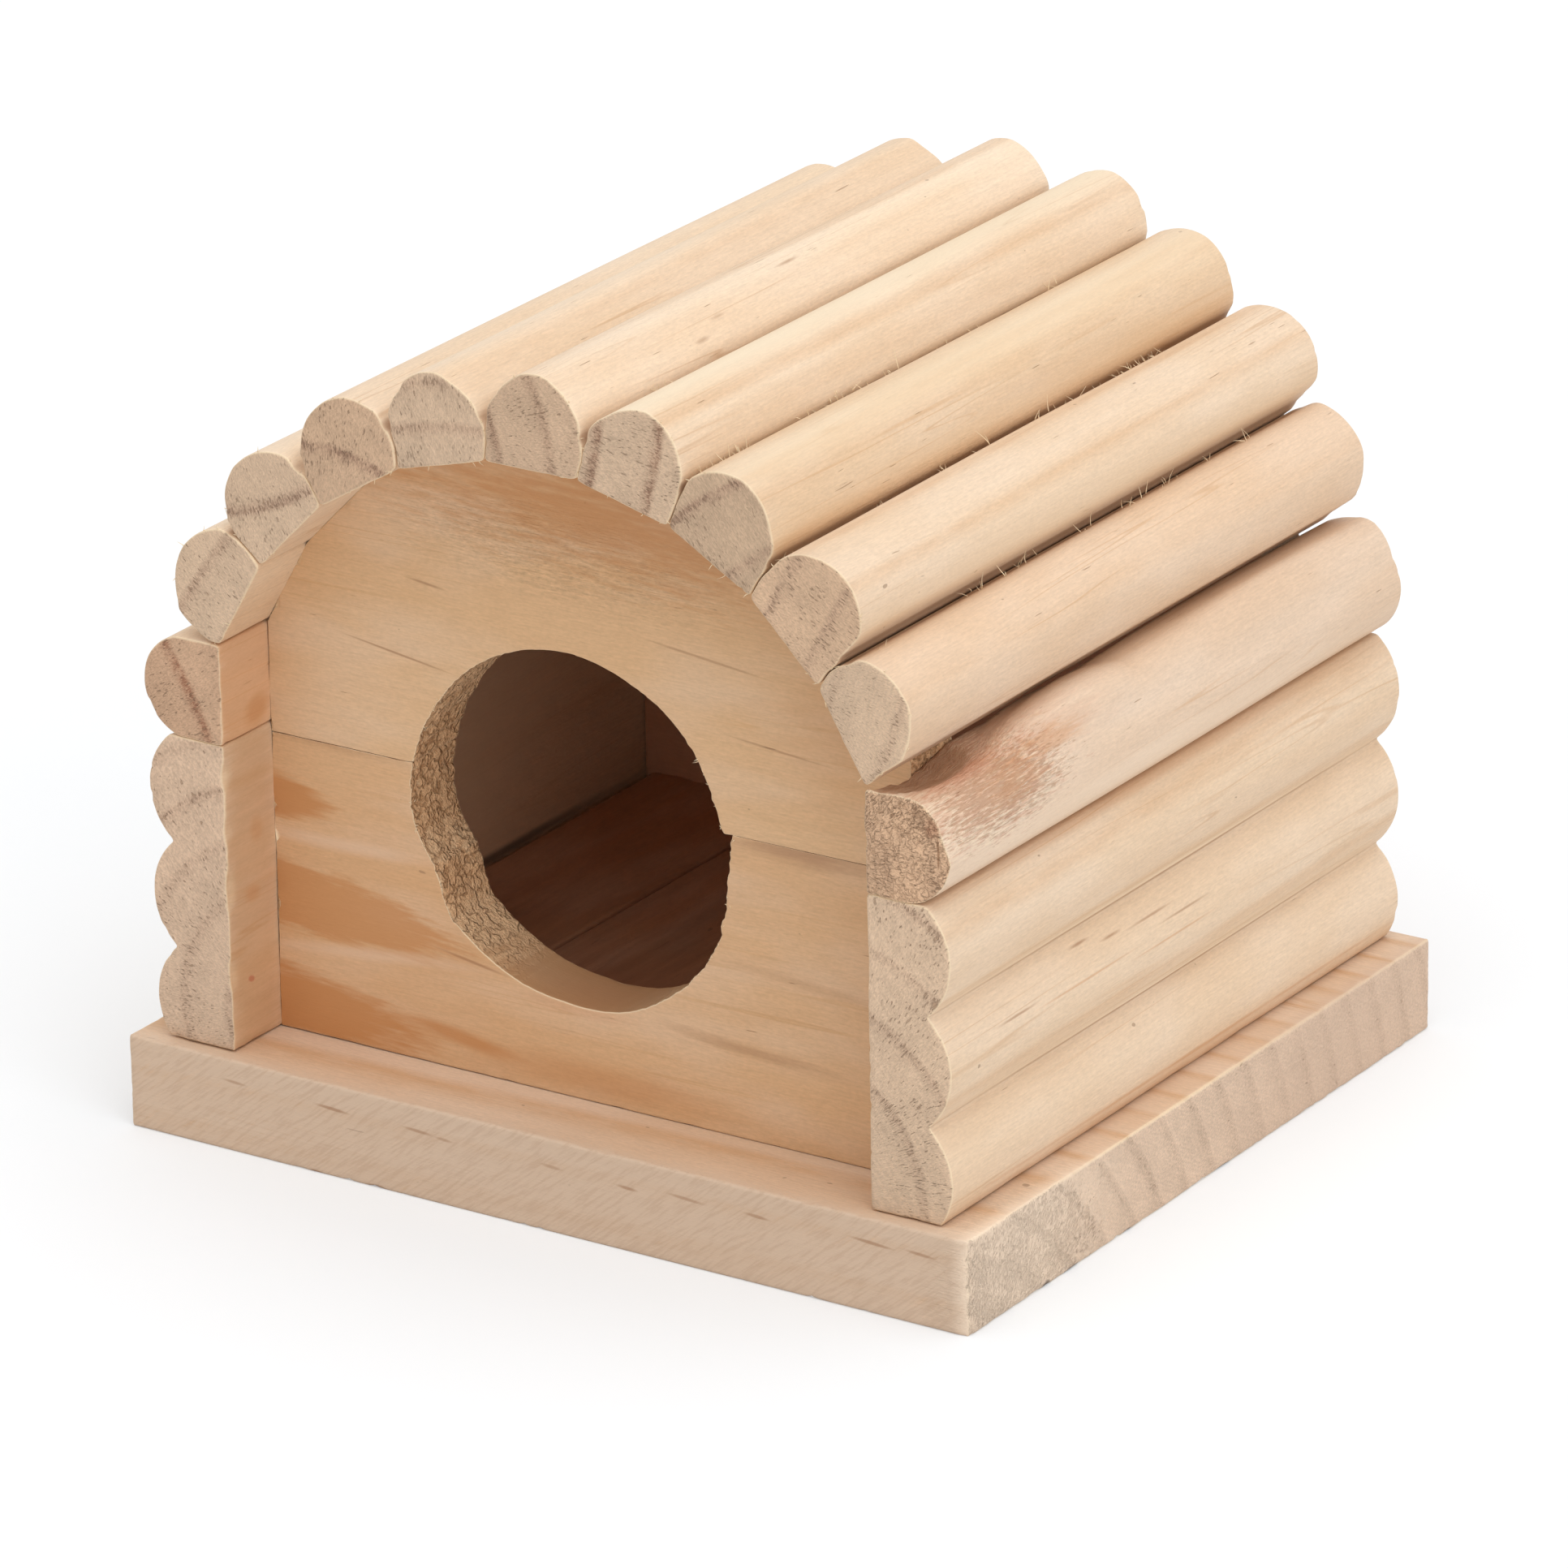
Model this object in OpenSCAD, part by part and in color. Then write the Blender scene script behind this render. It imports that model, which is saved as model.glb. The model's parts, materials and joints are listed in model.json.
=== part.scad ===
// Small-pet log cabin: a nailed and glued pine house with an arched log roof.
// Front faces -Y, +Z is up, the origin is the middle of the base board's underside.

/* [Base board] */
// Width of the base board, left to right
base_w = 120; // [116:0.5:160]
// Depth of the base board, front to back
base_d = 107; // [105:0.5:150]
// Thickness of the base board
base_t = 12; // [8:0.5:20]

/* [Walls] */
// Clear width between the two side walls
inside_w = 91; // [70:0.5:96]
// Length of the walls and of all the logs, front to back
log_len = 103; // [80:0.5:105]
// Height of a milled wall board
wall_h = 39.5; // [28:0.5:60]
// Thickness of a wall board over its rounds
wall_t = 11.2; // [9:0.1:14]
// Height of one milled round on a wall board
round_pitch = 13.7; // [10:0.1:18]
// Depth of the grooves between the milled rounds
round_depth = 3.2; // [2:0.1:4.5]

/* [Wall logs] */
// Height of the log that tops each wall board
wall_log_h = 12.8; // [10:0.1:18]
// Thickness of the wall log over its round side
wall_log_t = 11.4; // [9:0.1:14]
// How far the wall log's round side stands out past its edges
wall_log_crown = 5; // [2:0.1:5]

/* [Roof logs] */
// Number of logs in the arch
arch_logs = 9; // [7:1:11]
// Angle that each roof log takes up, seen from the arch centre
log_angle = 15.1; // [12:0.1:16]
// Gap between neighbouring roof logs at their inner edges
log_gap = 0.3; // [0.1:0.05:1]
// Height of the straight sides of a roof log
log_side = 7; // [4:0.1:10]
// Rise of the round top above the straight sides of a roof log
log_crown = 4.3; // [2:0.1:6]
// Angle that each side leans in beyond the arch's radius, which opens the V grooves
side_relief = 2.5; // [0:0.1:5]

/* [Panels] */
// Thickness of the front and back panels
panel_t = 9; // [6:0.1:14]
// How far the front panel sits behind the log ends
front_recess = 9.8; // [4:0.1:20]
// How far the back panel sits in from the log ends
back_recess = 5; // [2:0.1:15]
// Height of the lower board of each panel
lower_board_h = 38.3; // [26:0.1:48]

/* [Entrance] */
// Diameter of the round entrance hole
hole_d = 45; // [30:0.5:52]
// Height of the hole's centre above the base board
hole_h = 34; // [33:0.5:40]
// Sideways offset of the hole's centre from the middle
hole_x = -2.2; // [-6:0.1:6]

/* [Inner floor] */
// Thickness of the inner floor panel
floor_t = 6.8; // [4:0.1:7]
// Width of the left floor board
floor_left_w = 23.5; // [15:0.5:50]

/* [Nails] */
// Diameter of a nail's shank
nail_d = 1.6; // [1.2:0.1:2]
// Length of a nail under its head
nail_len = 25; // [20:0.5:30]
// Diameter of a nail's head
nail_head_d = 3.6; // [3:0.1:5]
// Thickness of a nail's head
nail_head_t = 1; // [0.6:0.1:1.5]
// How deep the nail heads sit below the underside of the base
nail_sink = 0.3; // [0.1:0.1:1]
// Room around a nail head in its sunk hole
nail_head_gap = 0.2; // [0.1:0.05:0.5]
// Distance of the wall nails from the ends of the walls
wall_nail_inset = 22; // [15:0.5:30]
// Distance of the panel nails from the inner faces of the walls
panel_nail_inset = 14; // [8:0.5:18]

/* [Hidden] */
$fn = 96;
cut = 1;                                    // overshoot of every cutting shape
half_in = inside_w / 2;
wall_core_t = wall_t - round_depth;
wall_rounds = ceil(wall_h / round_pitch);
wall_top = base_t + wall_h;
spring_z = wall_top + wall_log_h;           // where the arch starts, on top of the wall logs
spring_angle = (180 - arch_logs * log_angle) / 2;
arch_r = half_in / cos(spring_angle);       // radius through the logs' inner corners
arch_z = spring_z - arch_r * sin(spring_angle);
arch_flat_r = arch_r * cos(log_angle / 2);  // radius to the middle of a log's flat inner face
log_half_in = arch_r * sin(log_angle / 2) - log_gap / 2;
log_half_out = log_half_in + log_side * tan(log_angle / 2 - side_relief);
seam_z = base_t + lower_board_h;
hole_z = base_t + hole_h;
front_y = -log_len / 2 + front_recess;      // outer face of the front panel
back_y = log_len / 2 - back_recess;         // outer face of the back panel
floor_d = back_y - front_y - 2 * panel_t;
floor_y = front_y + panel_t;
wall_nail_x = half_in + wall_core_t / 2;
wall_nail_y = log_len / 2 - wall_nail_inset;
panel_nail_x = half_in - panel_nail_inset;
nail_spots = [
    for (side = [-1, 1], end = [-1, 1]) [side * wall_nail_x, end * wall_nail_y],
    for (side = [-1, 1]) [side * panel_nail_x, front_y + panel_t / 2],
    for (side = [-1, 1]) [side * panel_nail_x, back_y - panel_t / 2]
];
// Hand-sanded logs differ a little: extra rise of each round top, left to right
crown_extra = [-0.9, -0.4, -0.1, 0.2, 0.6, 0.4, 0.6, 1.2, 0];

// Radius of an arc that rises by `rise` over a chord of half width `half`
function arc_r(half, rise) = (half * half + rise * rise) / (2 * rise);

// A tapered block with a round top, standing on y = 0
module round_topped(half_in, half_out, side, rise) {
    r = arc_r(half_out, rise);
    polygon([[-half_in, 0], [half_in, 0], [half_out, side], [-half_out, side]]);
    intersection() {
        translate([0, side + rise - r]) circle(r);
        translate([-half_out, side]) square([2 * half_out, rise + cut]);
    }
}

// Extrudes an outline drawn in X and Z along Y, from y = from over a length
module along_y(from, length) {
    translate([0, from + length, 0]) rotate([90, 0, 0]) linear_extrude(length) children();
}

// Outline of a milled wall board, inner face on x = 0 and foot on y = 0
module wall_outline() {
    r = arc_r(round_pitch / 2, round_depth);
    intersection() {
        square([wall_t, wall_h]);
        union() {
            square([wall_core_t, wall_h]);
            for (i = [0 : wall_rounds - 1])
                translate([wall_t - r, wall_h - (i + 0.5) * round_pitch]) circle(r);
        }
    }
}

module wall_board_right() {
    color("burlywood") difference() {
        along_y(-log_len / 2, log_len) translate([half_in, base_t]) wall_outline();
        nail_shanks();
    }
}

module wall_board_left() {
    mirror([1, 0, 0]) wall_board_right();
}

module wall_log_right() {
    color("wheat") along_y(-log_len / 2, log_len)
        translate([half_in, wall_top + wall_log_h / 2]) rotate(-90)
            round_topped(wall_log_h / 2, wall_log_h / 2, wall_log_t - wall_log_crown, wall_log_crown);
}

module wall_log_left() {
    mirror([1, 0, 0]) wall_log_right();
}

// Roof log number i, counted from the left
module arch_log(i) {
    turn = 90 - spring_angle - (i - 0.5) * log_angle;
    color("wheat") along_y(-log_len / 2, log_len)
        translate([0, arch_z]) rotate(turn) translate([0, arch_flat_r])
            round_topped(log_half_in, log_half_out, log_side,
                log_crown + crown_extra[(i - 1) % len(crown_extra)]);
}

// Outline of a panel: square below the arch, then one flat for each roof log
module panel_outline() {
    arch = [for (i = [0 : arch_logs])
        let (a = spring_angle + i * log_angle) [arch_r * cos(a), arch_z + arch_r * sin(a)]];
    polygon(concat([[-half_in, base_t], [half_in, base_t]], arch));
}

module panel(outer_y, inward) {
    along_y(min(outer_y, outer_y + inward * panel_t), panel_t) panel_outline();
}

// Everything below the glue seam of the panels
module below_seam() {
    translate([-base_w, -base_d, base_t - cut]) cube([2 * base_w, 2 * base_d, lower_board_h + cut]);
}

module entrance_hole() {
    translate([hole_x, front_y + panel_t / 2, hole_z]) rotate([90, 0, 0])
        cylinder(h = panel_t + 2 * cut, d = hole_d, center = true);
}

module front_panel_lower() {
    color("tan") difference() {
        intersection() {
            panel(front_y, 1);
            below_seam();
        }
        entrance_hole();
        nail_shanks();
    }
}

module front_panel_upper() {
    color("burlywood") difference() {
        panel(front_y, 1);
        below_seam();
        entrance_hole();
    }
}

module back_panel_lower() {
    color("tan") difference() {
        intersection() {
            panel(back_y, -1);
            below_seam();
        }
        nail_shanks();
    }
}

module back_panel_upper() {
    color("burlywood") difference() {
        panel(back_y, -1);
        below_seam();
    }
}

module floor_board_left() {
    color("peru") translate([-half_in, floor_y, base_t]) cube([floor_left_w, floor_d, floor_t]);
}

module floor_board_right() {
    color("peru") translate([-half_in + floor_left_w, floor_y, base_t])
        cube([inside_w - floor_left_w, floor_d, floor_t]);
}

module nail_shanks() {
    for (spot = nail_spots)
        translate([spot[0], spot[1], nail_sink]) cylinder(h = nail_head_t + nail_len, d = nail_d);
}

module base_board() {
    color("burlywood") difference() {
        translate([-base_w / 2, -base_d / 2, 0]) cube([base_w, base_d, base_t]);
        nail_shanks();
        for (spot = nail_spots)
            translate([spot[0], spot[1], -cut])
                cylinder(h = cut + nail_sink + nail_head_t, d = nail_head_d + 2 * nail_head_gap);
    }
}

module base_nails() {
    color("silver") {
        nail_shanks();
        for (spot = nail_spots)
            translate([spot[0], spot[1], nail_sink]) cylinder(h = nail_head_t, d = nail_head_d);
    }
}

base_board();
floor_board_left();
floor_board_right();
wall_board_left();
wall_board_right();
wall_log_left();
wall_log_right();
for (i = [1 : arch_logs])
    arch_log(i);
front_panel_lower();
front_panel_upper();
back_panel_lower();
back_panel_upper();
base_nails();
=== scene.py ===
import itertools
import json
import math
from collections import namedtuple

import bmesh
import bpy
import numpy as np
from bpy.props import FloatProperty, FloatVectorProperty, IntProperty, PointerProperty
from bpy.types import Operator, Panel, PropertyGroup
from mathutils import Matrix, Vector
from mathutils.geometry import delaunay_2d_cdt

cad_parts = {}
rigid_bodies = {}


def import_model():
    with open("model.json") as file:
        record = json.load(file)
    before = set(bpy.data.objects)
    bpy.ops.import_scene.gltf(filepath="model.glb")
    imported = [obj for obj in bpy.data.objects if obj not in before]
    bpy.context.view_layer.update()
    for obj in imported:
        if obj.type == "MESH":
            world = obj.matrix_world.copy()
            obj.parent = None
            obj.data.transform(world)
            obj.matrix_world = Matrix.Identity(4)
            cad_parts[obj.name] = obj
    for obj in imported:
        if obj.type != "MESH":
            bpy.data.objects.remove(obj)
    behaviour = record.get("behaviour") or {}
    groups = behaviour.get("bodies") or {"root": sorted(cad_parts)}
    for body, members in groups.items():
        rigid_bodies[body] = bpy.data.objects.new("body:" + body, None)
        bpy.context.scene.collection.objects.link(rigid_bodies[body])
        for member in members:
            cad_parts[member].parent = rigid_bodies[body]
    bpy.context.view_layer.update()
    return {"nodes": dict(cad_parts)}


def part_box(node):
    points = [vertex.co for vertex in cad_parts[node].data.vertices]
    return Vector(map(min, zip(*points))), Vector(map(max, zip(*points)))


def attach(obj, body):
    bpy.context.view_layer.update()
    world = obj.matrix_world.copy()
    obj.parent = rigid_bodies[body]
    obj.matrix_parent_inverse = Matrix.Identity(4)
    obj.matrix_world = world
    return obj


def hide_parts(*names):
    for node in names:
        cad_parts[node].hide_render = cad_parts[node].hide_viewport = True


bl_info = {
    "name": "Pine Log Cabin",
    "version": (1, 0, 0),
    "blender": (4, 5, 0),
    "location": "3D View > Sidebar > Cabin",
    "description": "Dresses the parts of a small pine log cabin in sawn, sanded and grained wood",
    "category": "Object",
}

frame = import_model()

MM = 0.001
X, Y, Z = 0, 1, 2
BODY = "root"
LOGS = sorted(name for name in frame["nodes"] if name.startswith("arch_log_"))

# How each roof log was shaped off its plain outline: pairs of a direction in degrees and the mm that
# it stands out there. Directions run anticlockwise from the log's right side, seen from the front.
LOG_SHAPES = {
    "arch_log_1": ((-25, 0.1), (0, 0.5), (20, -0.3), (76, -0.3), (126, -0.7), (155, -1.0), (180, 0.0),
                   (208, 0.6)),
    "arch_log_2": ((-25, 0.2), (10, 0.0), (95, -0.1), (134, -0.5), (157, -1.0), (180, -0.2), (200, 0.2)),
    "arch_log_3": ((-20, 0.9), (0, 0.8), (32, 0.3), (56, 0.2), (90, -0.5), (121, -0.9), (155, -1.4),
                   (185, -0.8)),
    "arch_log_4": ((-20, 0.7), (0, 0.6), (19, -0.1), (48, -0.3), (65, 0.1), (92, -0.3), (112, -0.6),
                   (127, -1.2), (154, -1.1), (171, -1.1), (200, -0.5)),
    "arch_log_5": ((-23, 0.6), (6, 0.3), (30, 0.0), (76, 0.2), (97, -0.2), (116, -0.9), (143, -1.4),
                   (183, -0.9)),
    "arch_log_6": ((-14, 0.3), (21, -0.1), (51, 0.4), (86, 0.6), (106, 0.0), (136, -0.7), (176, -0.6),
                   (205, -0.3)),
    "arch_log_7": ((-14, -0.3), (23, -0.7), (39, -0.9), (71, -0.5), (98, -0.1), (147, -0.1), (175, 0.1)),
    "arch_log_8": ((-10, -0.9), (20, -1.3), (40, -0.4), (74, -0.1), (101, 0.1), (147, 0.3), (181, 0.5)),
    "arch_log_9": ((-19, -1.0), (14, -1.8), (24, -2.0), (51, -1.7), (71, -1.3), (91, -0.7), (124, -0.2),
                   (155, 0.5), (181, 0.8), (200, 0.9)),
}
# How far right of its even place each joint between two roof logs lies, in mm, from the left
JOINT_SHIFTS = (0.3, 0.4, 0.85, 0.75, 0.5, 0.0, -0.4, -0.8)
# How the hole saw left the entrance: direction in degrees round the hole, and mm wider. Just past
# STEP_TURN the rim steps in, at the seam of the panel's two boards: the lower board stays short of that.
HOLE_SHAPE = (
    (-73, 0.1), (-50, 0.2), (-23.5, 0.35), (-20, 0.0), (-4, -0.45), (5, 0.0), (10.6, 0.6), (10.8, -0.5),
    (16, -0.8), (33, -0.4), (46, -0.2), (66, -0.3), (90, 0.0), (150, 0.1), (176, 0.5), (183, 0.55),
    (193, 0.1), (203, -1.0), (208, -0.6), (219, 0.35), (238, -0.2), (266, -0.5),
)
STEP_TURN = 10.6
# Where the pith of each piece's tree ran, across and up in mm, the radius of one dark ring about it,
# and the spacing of its rings
GROWTH = {
    "arch_log_1": (6, 34, 60, 6.9),
    "arch_log_2": (-48, 111, 29.5, 11),
    "arch_log_3": (-30, 67, 25.8, 9),
    "arch_log_4": (-4, 39, 60, 5.3),
    "arch_log_5": (-20, 95, 23.6, 7.3),
    "arch_log_6": (-41, 110, 60, 8),
    "arch_log_7": (70, 30, 80.2, 8.5),
    "arch_log_8": (130, 33, 103, 7),
    "arch_log_9": (28, 80, 23.5, 9),
    "wall_log_left": (-107, 28, 64.8, 14),
    "wall_log_right": (40, 55, 15.5, 6.5),
    "wall_board_left": (-35, 18, 17.8, 6.4),
    "wall_board_right": (34, 13, 34.6, 7.6),
    "base_board": (-62, -24, 62, 5.6),
    "floor_board_left": (-34, -14, 30, 5),
    "floor_board_right": (16, -30, 44, 6),
    "front_panel_lower": (-60, 26, 16, 9),
    "front_panel_upper": (-62, 70, 20, 3.2),
    "back_panel_lower": (62, 30, 20, 4),
    "back_panel_upper": (66, 76, 24, 5),
}

# Faces that marks lie on, in mm: the front panel's outer face, the front ends of the walls and logs, the
# inner faces of the walls, and the front edge and right side of the base board
PANEL_Y = -41.7
ENDS_Y = -51.5
INSIDE_X = 45.5
BASE_Y = -53.5
BASE_X = 60.0
# Heights of the grooves between a wall board's rounds, a reach past both of its ends from its middle, and
# a reach right through the cabin
GROOVES = (37.9, 24.2)
WHOLE_WALL = 75
THROUGH = 300
# Colours of the wood's patches, from its heartwood to the near-black marks at its foot, and of the painted
# light and painted shade on it
# heartwood; also painted shade where parts meet, in the porch and under the roof
HEARTWOOD_AND_SHADE = (0.56, 0.25, 0.09)
PALE = (0.82, 0.60, 0.44)
# cream wood; also painted highlights on wall flats and roof log tops
CREAM_AND_HIGHLIGHT = (0.95, 0.80, 0.58)
BROWN = (0.36, 0.18, 0.09)
RED = (0.52, 0.20, 0.11)
ROSE = (0.90, 0.40, 0.24)
# tan wood; also painted shade lines on the walls and on roof logs' lower sides
TAN_AND_SHADE = (0.68, 0.46, 0.27)
# painted warm bounce light and shade in the porch
PORCH_BOUNCE_AND_SHADE = (0.46, 0.24, 0.10)
# near-black, for marks along the foot of the base
NEAR_BLACK = (0.10, 0.08, 0.07)
# painted shade in the corner of the inner floor
CORNER_SHADE = (0.10, 0.035, 0.015)
# painted shade on the inner floor
INTERIOR_SHADE = (0.26, 0.10, 0.048)
# painted warm light on the inner faces of the left wall
LIT = (1.0, 0.63, 0.38)
SAWN = (0.68, 0.51, 0.375)

# A patch on a piece, in mm and degrees: it reaches `size` each way from its centre, along the grain, and
# tilts up along it. `soft` is the share of it that fades out, `ragged` how torn it is, `fine` how many
# times finer than usual its torn strokes are, and `ends` is whether it shows on sawn ends too.
Spot = namedtuple("Spot", "centre size tilt soft strength tone ragged fine ends", defaults=(0.5, 1.0, False))


def on_front(x, z, wide, high, *look):
    """A spot on the outer face of the front panel."""
    return Spot((x, PANEL_Y, z), (wide, 9, high), *look)


def on_wall(x, y, z, long, high, *look):
    """A level spot on the outer side of a wall board."""
    return Spot((x, y, z), (9.0, long, high), 0, *look)


def stripe(x, z, wide, *look):
    """A stripe along the whole of a log."""
    return Spot((x, 0.0, z), (wide, THROUGH, wide), 0, *look)


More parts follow.
